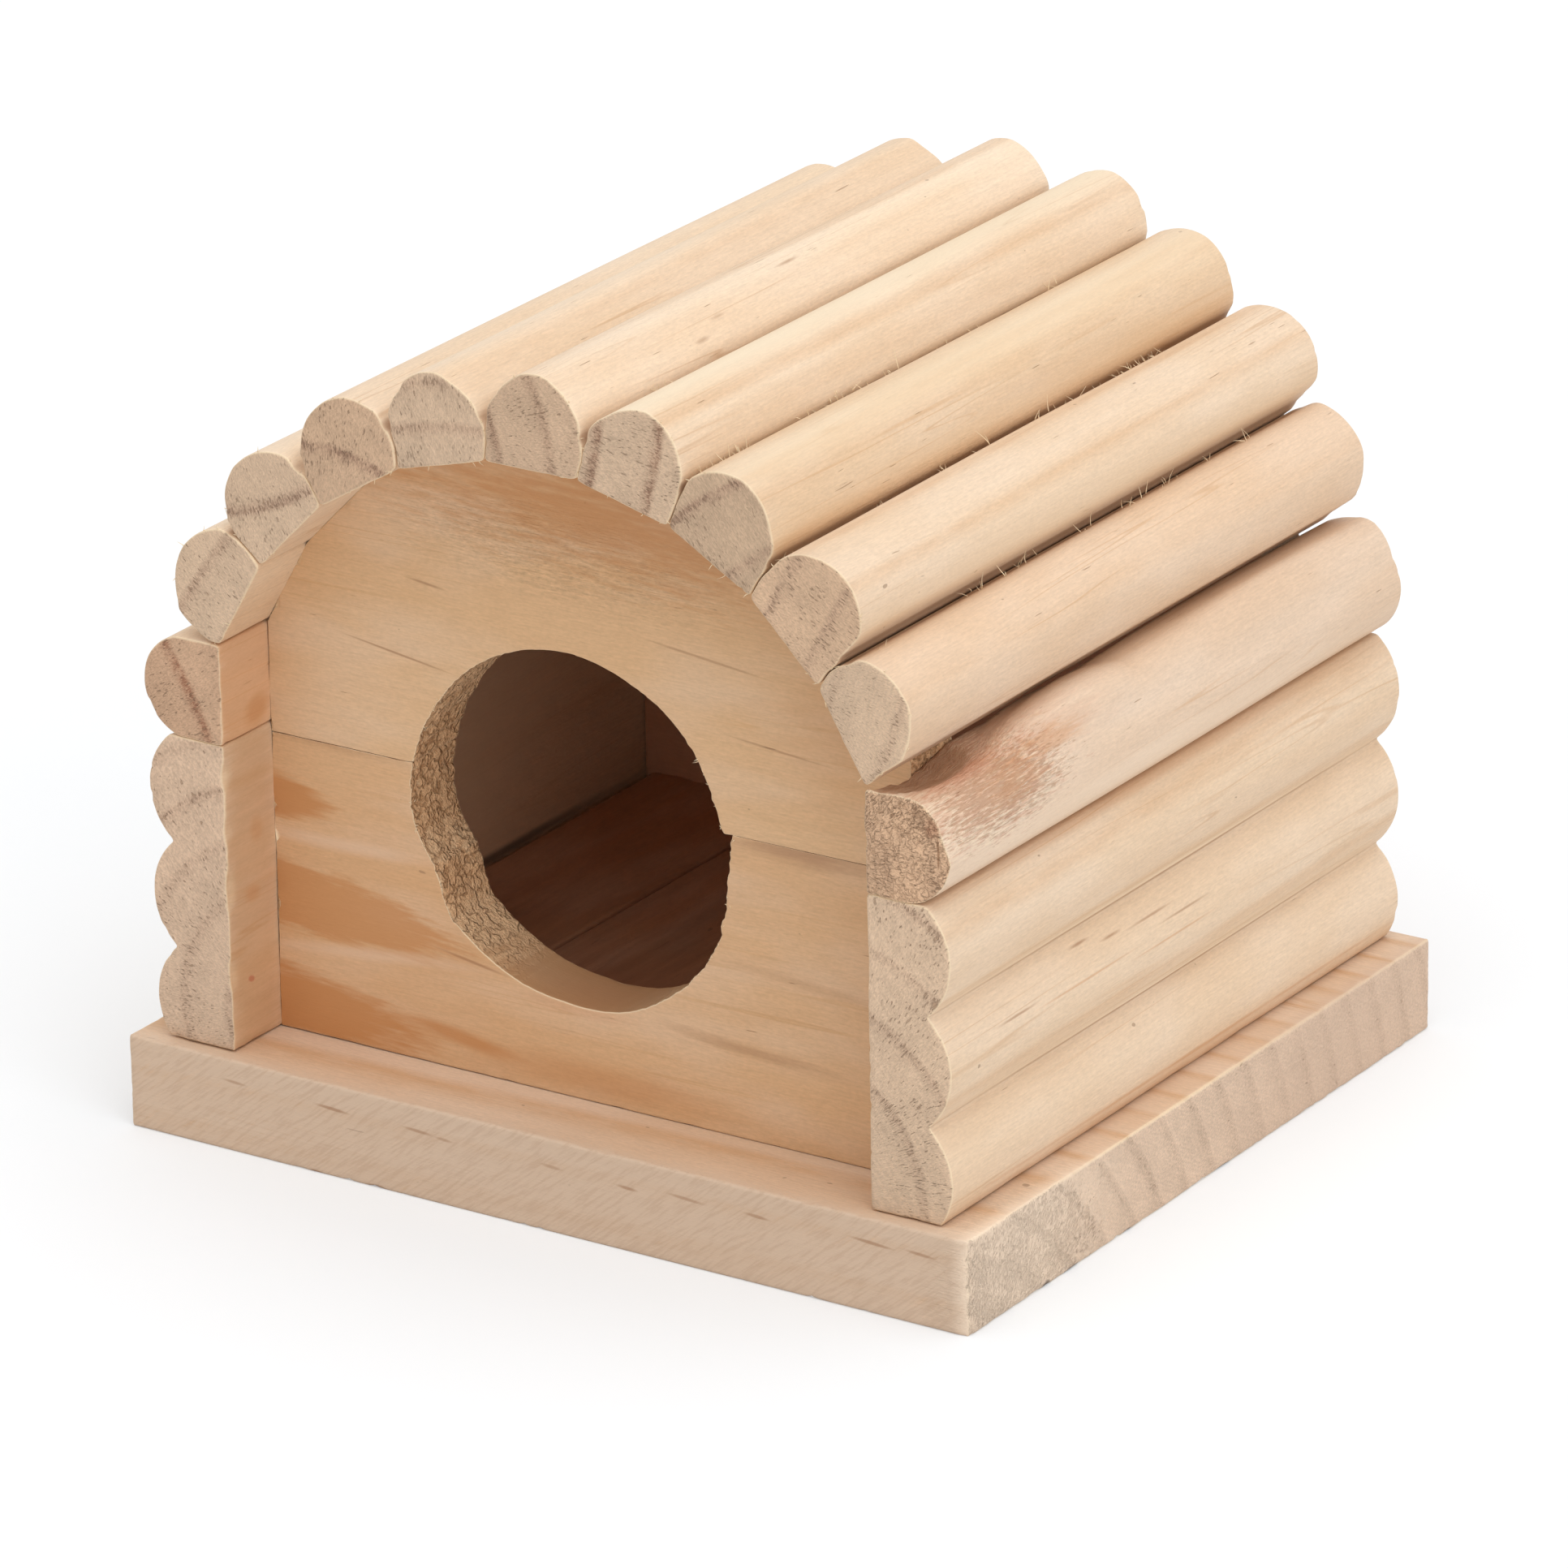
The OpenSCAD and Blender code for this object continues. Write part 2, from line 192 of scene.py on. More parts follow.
SPOTS = {
    "front_panel_lower": (
        on_front(-45.0, 42.4, 9.5, 3.4, -4, 0.45, 0.86, HEARTWOOD_AND_SHADE, 0.8, 1.5),
        on_front(-36.0, 37.6, 16, 1.5, 1, 0.9, 0.50, PALE),
        on_front(-46.0, 29.8, 32, 5.0, -5, 0.30, 0.76, HEARTWOOD_AND_SHADE, 0.8, 1.5),
        on_front(-32.0, 24.2, 22, 1.5, 6, 0.9, 0.50, PALE),
        on_front(-46.0, 15.8, 28, 5.6, -3, 0.45, 0.92, HEARTWOOD_AND_SHADE, 0.8, 1.5),
        on_front(-19.0, 16.2, 12, 1.7, -7, 0.8, 0.80, HEARTWOOD_AND_SHADE),
        on_front(2.0, 15.0, 26, 3.4, 0, 0.9, 0.50, HEARTWOOD_AND_SHADE),
        on_front(24.0, 23.3, 18, 1.3, -4, 0.95, 0.40, BROWN, 1.2),
        on_front(30.0, 33.5, 16, 1.0, -3, 0.9, 0.25, BROWN),
        # Painted shadow under the seam, where the upper board stands a little proud, in this and the next
        # spot
        on_front(31.0, 50.0, 15, 2.6, 0, 0.95, 0.62, BROWN),
        on_front(-36.0, 50.2, 16, 1.2, 0, 0.95, 0.30, BROWN),
        on_front(-17.0, 26.4, 7, 0.3, -9, 0.8, 0.75, BROWN),
        on_front(-24.0, 28.0, 38, 26.0, 0, 0.95, 0.20, HEARTWOOD_AND_SHADE),
        Spot((-2.0, -37.0, 23.6), (14, 9, 1.8), 0, 0.9, 0.35, RED),
    ),
    "front_panel_upper": (
        # Painted shade under the roof's overhang across the top of the board, over its darker torn grain
        on_front(4.0, 86.0, 42, 10.0, -4, 0.95, 0.72, HEARTWOOD_AND_SHADE, 1.6, 1.7),
        on_front(36.0, 66.0, 16, 14.0, 0, 0.95, 0.20, HEARTWOOD_AND_SHADE, 1.2),
        on_front(-27.0, 63.9, 11, 0.22, -8, 0.8, 0.65, BROWN),
        on_front(-22.0, 73.5, 4, 0.25, -7, 0.8, 0.60, BROWN),
        on_front(18.0, 71.5, 12, 0.25, -6, 0.8, 0.50, BROWN),
        on_front(28.0, 62.0, 10, 0.22, -5, 0.8, 0.50, BROWN),
    ),
    "wall_board_left": (
        # Painted warm bounce light and shade on the porch part of the inner face
        Spot((-INSIDE_X, -46.5, 30.0), (3.0, 9, 60), 0, 0.7, 0.60, PORCH_BOUNCE_AND_SHADE),
        # Painted warm light over the inner face
        Spot((-INSIDE_X, -5.0, 30.0), (3.0, 53, 60), 0, 0.9, 0.66, LIT),
        # Painted shade in the corner where the inner floor meets the wall
        Spot((-INSIDE_X, 4.0, 18.4), (2.0, 38, 1.1), 0, 0.9, 0.75, CORNER_SHADE),
        Spot((-INSIDE_X, -47.4, 20.2), (1.2, 0.8, 0.5), -20, 0.5, 0.85, RED),
        Spot((-INSIDE_X, -46.6, 31.0), (1.2, 2.4, 1.6), -10, 0.8, 0.40, HEARTWOOD_AND_SHADE),
        Spot((-INSIDE_X, -45.4, 39.0), (1.2, 1.8, 2.6), 10, 0.8, 0.30, HEARTWOOD_AND_SHADE),
        # Painted shade along the bottom of each groove on the outer side
        *(on_wall(-56.0, 0.0, z, WHOLE_WALL, 0.26, 0.8, 0.62, BROWN, 0.4) for z in GROOVES),
    ),
    "wall_log_left": (
        # Painted warm bounce light and shade on the porch part of the log's inner face
        Spot((-INSIDE_X, -46.5, 58.0), (3.0, 9, 14), 0, 0.5, 0.60, HEARTWOOD_AND_SHADE),
        # Painted warm light over the inner face
        Spot((-INSIDE_X, -5.0, 58.0), (3.0, 53, 60), 0, 0.9, 0.66, LIT),
        Spot((-INSIDE_X, -44.5, 54.0), (1.2, 3.4, 2.6), 20, 0.7, 0.50, HEARTWOOD_AND_SHADE),
    ),
    "wall_log_right": (
        # Painted light that lifts the shade on the lower flank of the log
        Spot((56.5, -8.0, 55.4), (4.0, 90, 4.2), 0, 0.9, 0.45, (0.93, 0.75, 0.57)),
        Spot((53.0, -40.0, 63.0), (12, 18, 5.0), 0, 0.9, 0.20, RED, 1.2),
        Spot((51.5, -27.0, 64.5), (12, 19, 4.0), 0, 0.9, 0.20, RED, 1.6, 2.0),
        Spot((54.0, -42.0, 61.8), (12, 13, 5.0), 0, 0.5, 0.34, CREAM_AND_HIGHLIGHT, 3.6, 4.4),
        Spot((53.0, -41.0, 62.3), (12, 14, 5.5), 0, 0.6, 0.36, RED, 4.2, 4.2),
        Spot((54.8, -34.5, 62.2), (6, 8, 3.2), 0, 0.8, 0.38, HEARTWOOD_AND_SHADE, 3.6, 4.0),
        Spot((54.0, -26.0, 64.0), (6, 8, 1.8), 0, 0.8, 0.40, HEARTWOOD_AND_SHADE, 2.0, 2.6),
        Spot((55.0, -39.0, 61.8), (6, 12, 4.0), 0, 0.4, 0.46, BROWN, 5.0, 5.0),
        Spot((52.0, -42.0, 64.4), (2.6, 11, 1.6), 0, 0.8, 0.45, RED, 1.0),
        # Painted shade inside the split at the log's front top corner, under the roof log
        Spot((47.5, -41.0, 63.3), (5, 12, 2.0), 0, 0.5, 0.70, BROWN, 0.5, ends=True),
        Spot((54.6, ENDS_Y, 61.4), (1.7, 2.5, 1.9), 0, 0.9, 0.40, RED, 1.0, 2.0, ends=True),
        Spot((55.3, ENDS_Y, 58.4), (0.22, 2.5, 2.4), 0, 0.5, 0.75, BROWN, 0.3, ends=True),
    ),
    "wall_board_right": (
        Spot((INSIDE_X, 0.0, 30.0), (3.0, 41, 60), 0, 0.2, 0.40, ROSE),
        # Painted shade along the board's foot where it meets the base, in this and the next spot
        on_wall(54.0, 0.0, 12.5, WHOLE_WALL, 3.0, 0.9, 0.30, HEARTWOOD_AND_SHADE),
        on_wall(54.0, 0.0, 14.4, WHOLE_WALL, 0.5, 0.9, 0.50, HEARTWOOD_AND_SHADE, 0.9),
        # Painted shade on the board's top round, under the wall log
        on_wall(54.0, 0.0, 51.2, WHOLE_WALL, 1.0, 0.8, 0.32, HEARTWOOD_AND_SHADE),
        # Painted shade along the bottom of each groove
        *(on_wall(52.5, 0.0, z, WHOLE_WALL, 0.26, 0.8, 0.62, BROWN, 0.4) for z in GROOVES),
        # A painted highlight on the narrow flat just above each groove
        *(on_wall(53.5, 0.0, z + 0.8, WHOLE_WALL, 0.6, 0.9, 0.50, CREAM_AND_HIGHLIGHT, 0.5) for z in GROOVES),
        # Painted shade lines above those flats, in this and the next spot
        on_wall(55.0, -8.0, 39.8, 62, 0.28, 0.8, 0.60, TAN_AND_SHADE, 0.9),
        on_wall(55.0, 6.0, 26.1, 58, 0.28, 0.8, 0.60, TAN_AND_SHADE, 0.9),
        on_wall(56.5, -22.0, 32.6, 16, 0.2, 0.8, 0.45, HEARTWOOD_AND_SHADE, 0.9),
        on_wall(56.5, -2.0, 31.4, 11, 0.2, 0.8, 0.45, HEARTWOOD_AND_SHADE, 0.9),
        on_wall(55.0, -20.5, 36.4, 3.0, 0.26, 0.9, 0.70, BROWN, 0.4),
        on_wall(55.4, -14.5, 35.4, 3.2, 0.26, 0.9, 0.70, BROWN, 0.4),
        on_wall(55.7, -6.0, 35.0, 6.5, 0.22, 0.9, 0.60, BROWN, 0.6),
        on_wall(56.2, 1.0, 33.6, 7.0, 0.22, 0.9, 0.60, BROWN, 0.6),
        on_wall(56.4, -36.5, 33.4, 6.0, 0.24, 0.9, 0.65, BROWN, 0.6),
    ),
    # Painted shade over the front of the inner floor, on both boards
    "floor_board_left": (Spot((-33.0, -32.0, 18.8), (26, 38, 3), 0, 0.9, 0.92, INTERIOR_SHADE),),
    "floor_board_right": (Spot((0.0, -32.0, 18.8), (60, 38, 3), 0, 0.9, 0.92, INTERIOR_SHADE),),
    "arch_log_7": (
        # Painted shade on the log's lower side and a painted highlight on its upper side
        stripe(35.0, 91.5, 4.8, 0.9, 0.45, TAN_AND_SHADE),
        stripe(28.6, 99.2, 4.4, 0.9, 0.40, CREAM_AND_HIGHLIGHT),
    ),
    # Painted shade on the log's lower side
    "arch_log_8": (stripe(46.4, 82.5, 5.0, 0.9, 0.45, TAN_AND_SHADE),),
    "arch_log_5": (
        Spot((3.0, -1.0, 105.8), (0.35, 3.2, 2.0), 0, 0.9, 0.60, BROWN, 0.8),
        Spot((4.8, -19.0, 104.5), (0.3, 2.4, 0.6), 0, 0.9, 0.55, BROWN, 0.8),
        Spot((5.9, -24.0, 103.3), (0.4, 2.0, 0.5), 0, 0.9, 0.50, BROWN, 0.8),
        Spot((-0.5, 6.0, 106.2), (0.5, 24, 2.0), 0, 0.9, 0.40, TAN_AND_SHADE, 0.9),
    ),
    # A painted highlight along the log's upper face
    "arch_log_6": (stripe(14.0, 104.6, 4.4, 0.9, 0.60, CREAM_AND_HIGHLIGHT),),
    "back_panel_lower": (Spot((0.0, 37.5, 30.0), (80, 3, 60), 0, 0.4, 0.50, ROSE),),
    "back_panel_upper": (Spot((0.0, 37.5, 75.0), (80, 3, 60), 0, 0.4, 0.50, ROSE),),
    "base_board": (
        Spot((0.0, BASE_Y, 6.0), (THROUGH, 2.5, THROUGH), 38, 0.9, 0.80, SAWN, 2.0, 2.6),
        Spot((0.0, -55.5, 6.0), (THROUGH, 2.5, THROUGH), 38, 0.6, 0.18, BROWN, 3.0, 2.8),
        Spot((BASE_X, -44.0, 6.0), (3, 30, 40), 0, 0.9, 0.72, (0.95, 0.77, 0.60), ends=True),
        Spot((BASE_X, 34.0, 6.0), (3, 44, 40), 0, 0.9, 0.55, (0.60, 0.43, 0.32), ends=True),
        # Near-black marks along the foot of the base's right end
        *(Spot((BASE_X, y, 0.0), (2, long, high), 0, 0.6, strength, NEAR_BLACK, ends=True)
          for y, long, high, strength in (
              (3.9, 2.2, 0.5, 0.8), (-36.4, 1.2, 0.9, 0.8), (-31.0, 2.4, 0.6, 0.7), (-18.2, 1.4, 0.5, 0.7))),
        Spot((-32.5, BASE_Y, 0.0), (1.4, 2, 0.5), 0, 0.6, 0.7, BROWN),
        Spot((-23.6, BASE_Y, 0.0), (1.8, 2, 0.5), 0, 0.6, 0.8, BROWN),
        *(Spot((x, BASE_Y, z), (wide, 2, 0.3), -3, 0.7, strength, BROWN)
          for x, z, wide, strength in (
              (-44.3, 9.1, 2.4, 0.5), (-29.8, 8.8, 3.0, 0.65), (-17.3, 8.7, 2.8, 0.55),
              (-13.5, 8.4, 1.6, 0.45), (1.9, 8.4, 2.0, 0.4), (12.7, 8.1, 1.9, 0.6),
              (20.9, 8.6, 3.2, 0.5), (30.9, 8.6, 2.2, 0.55), (46.9, 8.9, 3.6, 0.6),
              (53.5, 9.0, 2.6, 0.55))),
    ),
}
# Where a piece's surface is torn: its fibres stand up there, and it has no colour of its own
TORN = {
    "front_panel_upper": on_front(-4.0, 81.0, 32, 8.0, -4, 0.8, 0.7, None),
    "wall_log_right": Spot((53.0, -38.0, 62.0), (12, 17, 6.0), 0, 0.5, 1.0, None),
    "base_board": Spot((BASE_X, -42.0, 4.0), (8, 24, 14), 0, 0.6, 0.8, None),
    "arch_log_7": Spot((32.0, -10.0, 88.0), (8, 44, 5), 0, 0.8, 0.5, None),
}
# Where a piece is dented, split away or fuller than its plain outline: the middle, the reach and the push
# in mm, and how torn the place is
Dent = namedtuple("Dent", "centre size push torn", defaults=(0.35,))
DENTS = {
    "wall_log_right": (Dent((47.3, -43.0, 64.3), (4.6, 8.4, 2.6), (0.0, 0.0, -2.0)),
                       Dent((51.8, 26.0, 64.3), (6.5, 62.0, 3.6), (0.1, 0.0, 2.6), 0.03),
                       Dent((51.8, -19.0, 64.3), (6.5, 15.0, 3.6), (0.1, 0.0, 1.7), 0.03),
                       Dent((56.0, ENDS_Y, 60.0), (2.0, 3.0, 2.5), (-0.6, 0.0, -0.3))),
    "arch_log_9": (Dent((50.0, ENDS_Y, 66.0), (2.0, 2.0, 2.0), (0.0, 0.5, 0.2)),),
    "wall_board_left": (Dent((-INSIDE_X, ENDS_Y, 33.0), (0.8, 1.2, 3.0), (-0.5, 0.2, 0.0)),
                        Dent((-INSIDE_X, ENDS_Y, 22.0), (0.7, 1.2, 2.2), (-0.4, 0.2, 0.0)),
                        Dent((-INSIDE_X, ENDS_Y, 40.5), (0.7, 1.0, 1.6), (-0.35, 0.1, 0.0)),
                        Dent((-INSIDE_X, ENDS_Y, 47.5), (0.8, 1.0, 2.0), (-0.4, 0.1, 0.0))),
    "base_board": (Dent((BASE_X, BASE_Y, 6.0), (1.4, 1.4, 12.0), (-0.25, 0.25, 0.0)),),
}


# ---------------------------------------------------------------- settings


def colour(title, about, value):
    """A setting for a colour."""
    return FloatVectorProperty(name=title, description=about, subtype="COLOR", size=3, min=0, max=1,
                               default=value)


def length(title, about, value_mm):
    """A setting for a short length."""
    return FloatProperty(name=title, description=about, unit="LENGTH", min=0, precision=5,
                         default=value_mm * MM)


def angle(title, about, degrees):
    """A setting for an angle."""
    return FloatProperty(name=title, description=about, subtype="ANGLE", default=math.radians(degrees))


class CabinWood(PropertyGroup):
    """Colours of the pine."""

    log: colour("Logs", "Long grain of the roof logs and wall logs", (0.85, 0.66, 0.47))
    wall: colour("Walls", "Long grain of the milled wall boards", (0.775, 0.59, 0.415))
    base: colour("Base", "Long grain of the base board", (0.73, 0.53, 0.375))
    floor: colour("Floor", "Long grain of the inner floor", (0.62, 0.29, 0.155))
    panel_upper: colour("Upper panels", "Face of the upper panel boards", (0.73, 0.465, 0.255))
    panel_lower: colour("Lower panels", "Face of the lower panel boards", (0.71, 0.44, 0.24))
    end: colour("End grain", "Sawn end grain", (0.75, 0.545, 0.378))
    late: colour("Late wood", "Dark part of a growth ring on long grain", (0.62, 0.36, 0.18))
    late_end: colour("Late wood, sawn", "Dark part of a growth ring on end grain", (0.46, 0.29, 0.20))
    # Paler colour of rounded edges: a painted highlight on the rounding, over the lightly sanded wood there;
    # the loose fibres are this colour too
    rim: colour("Edges", "Lightly sanded edge of a sawn end", (0.95, 0.78, 0.53))
    hole: colour("Entrance", "Wood burnt by the hole saw", (0.47, 0.235, 0.105))


class CabinShape(PropertyGroup):
    """Finish of the wood that is cut into its surface."""

    edge: length("Edge rounding", "Radius that sanding left on an edge", 0.3)
    joint: length("Joint line", "Gap that shows where two boards meet", 0.015)
    end_rough: length("Sawn end roughness", "Height of the torn fibres on a sawn end", 0.06)
    hole_rough: length("Hole roughness", "Height of the torn fibres in the entrance", 0.2)
    wave: length("Planing waves", "Height of the slow waves on a sanded face", 0.1)
    chip: length("Chip depth", "Depth of the small chips along a sawn edge", 0.42)
    fibre: length("Loose fibre", "Length of a loose fibre", 1.7)
    seed: IntProperty(name="Seed", description="Start of every random choice", min=0, default=11)


class CabinStage(PropertyGroup):
    """Camera, lamp and floor."""

    turn: angle("Turn", "How far round to the right the camera stands", 33.515)
    height: angle("Height", "How steeply the camera looks down", 20.752)
    roll: angle("Roll", "Tilt of the camera about its own axis", -1.039)
    distance: FloatProperty(name="Distance", description="From the camera to the middle of the cabin",
                            unit="LENGTH", default=1.2035)
    lens: FloatProperty(name="Lens", description="Focal length on a 36 mm sensor", unit="CAMERA",
                        default=229.2)
    lamp: FloatProperty(name="Top lamp", description="Strength of the soft lamp overhead", default=1.5)
    side_lamp: FloatProperty(name="Side lamp", description="Strength of the soft lamp to the right",
                             default=0.85)
    sky: FloatProperty(name="Sky", description="Strength of the even light from all round", default=0.565)
    floor: FloatProperty(name="Floor", description="How pale the floor is to the light", min=0, max=1,
                         default=0.8)
    glow: FloatProperty(name="Floor glow", description="Share of plain white in the floor as it is seen",
                        min=0, max=1, default=0.25)


# ---------------------------------------------------------------- shaping

WELD = 0.002  # mm: points of a CAD mesh this close together are one
FLAT = 0.003  # mm: how far the points of a flat end may lie off its level
LEVEL = 0.01  # mm: how far a point may lie off a straight side of an outline
CORNER = math.radians(25)  # an outline that turns more than this has a true corner there
BEND = math.radians(9)  # an outline keeps a point each time that it has turned this much
WALK_STEP = 0.25  # mm between the points of an outline while it is being shaped
LEAST_STEP = 0.03  # mm: points closer together than this are left out
EDGE_TURNS = (0, 35, 65)  # degrees round the edge of a sawn end at which it has a row of points
PIT_RINGS = ((1.12, 28), (1.0, 28), (0.94, 28), (0.5, 12))  # share of a pit's radius, and points there
PIT_WALL = 0.97  # share of a pit's radius within which its points are sunk
FOLDED = 0.15  # a rounded edge folds up where less than this share of the outline's length is left
RIPPLE = 0.025  # mm: height of the fine ripples along the grain
FULL_EDGE = 0.3  # mm: an edge with this much rounding has chips of full depth
CHIP_REACH = 0.45  # mm: how fast the chips fade away from an edge
LOG_MIDDLE = 5  # mm above a log's flat side, where the directions of its shape start
FOOT_REACH = 2.0  # mm above a log's flat side, up to which its shape fades in
JOINT_TOP = 5.2  # mm above a roof log's flat side, where the groove beside it has its bottom
JOINT_OUT = 0.07  # mm past the edge of its flat side, where a roof log's side starts along the joint
TEETH = 0.14  # mm: height of the tears on the left and right of the entrance's rim


def hashed(cells, seed):
    """One value from -1 to 1 for each whole-numbered cell."""
    a, b, c = (cells[:, i].astype(np.uint64) for i in range(3))
    mixed = a * np.uint64(0x9E3779B1) ^ b * np.uint64(0x85EBCA77) ^ c * np.uint64(0xC2B2AE3D)
    mixed = (mixed + np.uint64(seed * 7919 + 17)) * np.uint64(0x27D4EB2F165667C5)
    mixed = (mixed ^ (mixed >> np.uint64(31))) * np.uint64(0x94D049BB133111EB)
    mixed ^= mixed >> np.uint64(29)
    return (mixed & np.uint64(0xFFFFFF)).astype(float) / 0x7FFFFF - 1


def swell(points, cell, seed):
    """Smooth noise from -1 to 1. `cell` is the size of a swell in mm, or its sizes along x, y and z."""
    places = points / np.array(cell, float)
    low = np.floor(places)
    part = places - low
    part = part * part * (3 - 2 * part)
    low = low.astype(np.int64)
    total = np.zeros(len(points))
    for corner in itertools.product((0, 1), repeat=3):
        share = np.where(np.array(corner) == 1, part, 1 - part).prod(1)
        total += share * hashed(low + np.array(corner), seed)
    return total


def end_loops(node, axis):
    """Outlines in mm of the flat end of a CAD part that lies lowest on an axis, the longest first."""
    work = bmesh.new()
    work.from_mesh(frame["nodes"][node].data)
    bmesh.ops.remove_doubles(work, verts=work.verts, dist=WELD * MM)
    level = min(v.co[axis] for v in work.verts) + FLAT * MM
    flat = [all(v.co[axis] < level for v in face.verts) for face in work.faces]
    work.faces.index_update()
    after = {}
    for face in work.faces:
        for corner in face.loops:
            if flat[face.index] and sum(flat[other.index] for other in corner.edge.link_faces) == 1:
                after[corner.vert] = corner.link_loop_next.vert
    loops = []
    while after:
        start, step = after.popitem()
        loop = [start.co, step.co]
        while step != start:
            step = after.pop(step)
            loop.append(step.co)
        path = np.delete(np.array(loop[:-1]) / MM, axis, 1)
        area = np.sum(path[:, 0] * np.roll(path[:, 1], -1) - path[:, 1] * np.roll(path[:, 0], -1))
        path = path if area > 0 else path[::-1]
        first = np.lexsort((path[:, 0].round(2), path[:, 1].round(2)))[0]
        loops.append(np.roll(path, -first, 0))
    work.free()
    return sorted(loops, key=lambda loop: -np.linalg.norm(loop - np.roll(loop, -1, 0), axis=1).sum())


def walk(loop, step):
    """The loop again as points a step apart, with the distance from each to the nearest true corner."""
    ahead = np.roll(loop, -1, 0) - loop
    sides = np.linalg.norm(ahead, axis=1)
    headings = np.arctan2(ahead[:, 1], ahead[:, 0])
    turns = np.abs((headings - np.roll(headings, 1) + math.pi) % (2 * math.pi) - math.pi)
    marks = np.concatenate([[0], np.cumsum(sides)])
    total = marks[-1]
    count = max(12, int(round(total / step)))
    at = np.arange(count) * total / count
    closed = np.vstack([loop, loop[:1]])
    path = np.stack([np.interp(at, marks, closed[:, i]) for i in (0, 1)], 1)
    corners = marks[:-1][turns > CORNER]
    if not len(corners):
        return path, np.full(count, total)
    gaps = np.abs(at[:, None] - corners[None])
    return path, np.minimum(gaps, total - gaps).min(1)


def soften(path, rounds):
    """Rounds the corners of a closed path."""
    for _ in range(rounds):
        path = (np.roll(path, 1, 0) + 2 * path + np.roll(path, -1, 0)) / 4
    return path


def outward(path):
    """Unit normals of a closed anticlockwise path."""
    along = np.roll(path, -1, 0) - np.roll(path, 1, 0)
    normal = np.stack([along[:, 1], -along[:, 0]], 1)
    return normal / np.linalg.norm(normal, axis=1)[:, None]


def inside(points, path):
    """Which points lie in a closed path."""
    a, b = path, np.roll(path, -1, 0)
    px, py = points[:, :1], points[:, 1:]
    crosses = (a[:, 1] > py) != (b[:, 1] > py)
    rise = np.where(b[:, 1] == a[:, 1], 1e-9, b[:, 1] - a[:, 1])
    return (crosses & (px < a[:, 0] + (py - a[:, 1]) * (b[:, 0] - a[:, 0]) / rise)).sum(1) % 2 == 1


def nearest(points, path):
    """Distance from each point to the nearest point of a path."""
    best = np.full(len(points), np.inf)
    for some in np.array_split(path, max(1, len(path) // 64)):
        best = np.minimum(best, np.linalg.norm(points[:, None] - some[None], axis=2).min(1))
    return best


def face_points(path, step, ring, pits, luck):
    """Points spread over the inside of a path, thick along its edge and round the pits."""
    low, high = path.min(0), path.max(0)
    rows = np.arange(low[1], high[1], step * math.sqrt(3) / 2)
    columns = np.arange(low[0], high[0], step)
    grid = np.array([(x + (i % 2) * step / 2, y) for i, y in enumerate(rows) for x in columns])
    grid += luck.uniform(-0.2, 0.2, grid.shape) * step
    grid = grid[inside(grid, path)]
    spread = [path - outward(path) * ring]
    if step > 3 * ring:
        spread.append(path[::2] - outward(path)[::2] * 3.5 * ring)
    gap = nearest(grid, path)
    keep = gap > max(step * 0.6, ring * 1.6)
    for centre, radius, _ in pits:
        keep &= np.linalg.norm(grid - centre, axis=1) > radius + step * 0.4
        for share, count in PIT_RINGS:
            turn = np.linspace(0, 2 * math.pi, count, endpoint=False)
            spread.append(centre + radius * share * np.stack([np.cos(turn), np.sin(turn)], 1))
    spread.append(grid[keep])
    return np.vstack(spread)


def unfolded(outline, normal, edge, worn):
    """The share of the edge rounding that each point takes, less where the outline would fold up."""
    share = np.ones((len(outline), 1)) * worn
    ahead = np.roll(outline, -1, 0) - outline
    for _ in range(60):
        inset = outline - normal * edge * share
        step = np.roll(inset, -1, 0) - inset
        folded = (step * ahead).sum(1) < FOLDED * (ahead * ahead).sum(1)
        if not folded.any():
            break
        share[folded | np.roll(folded, 1)] *= 0.8
    return share


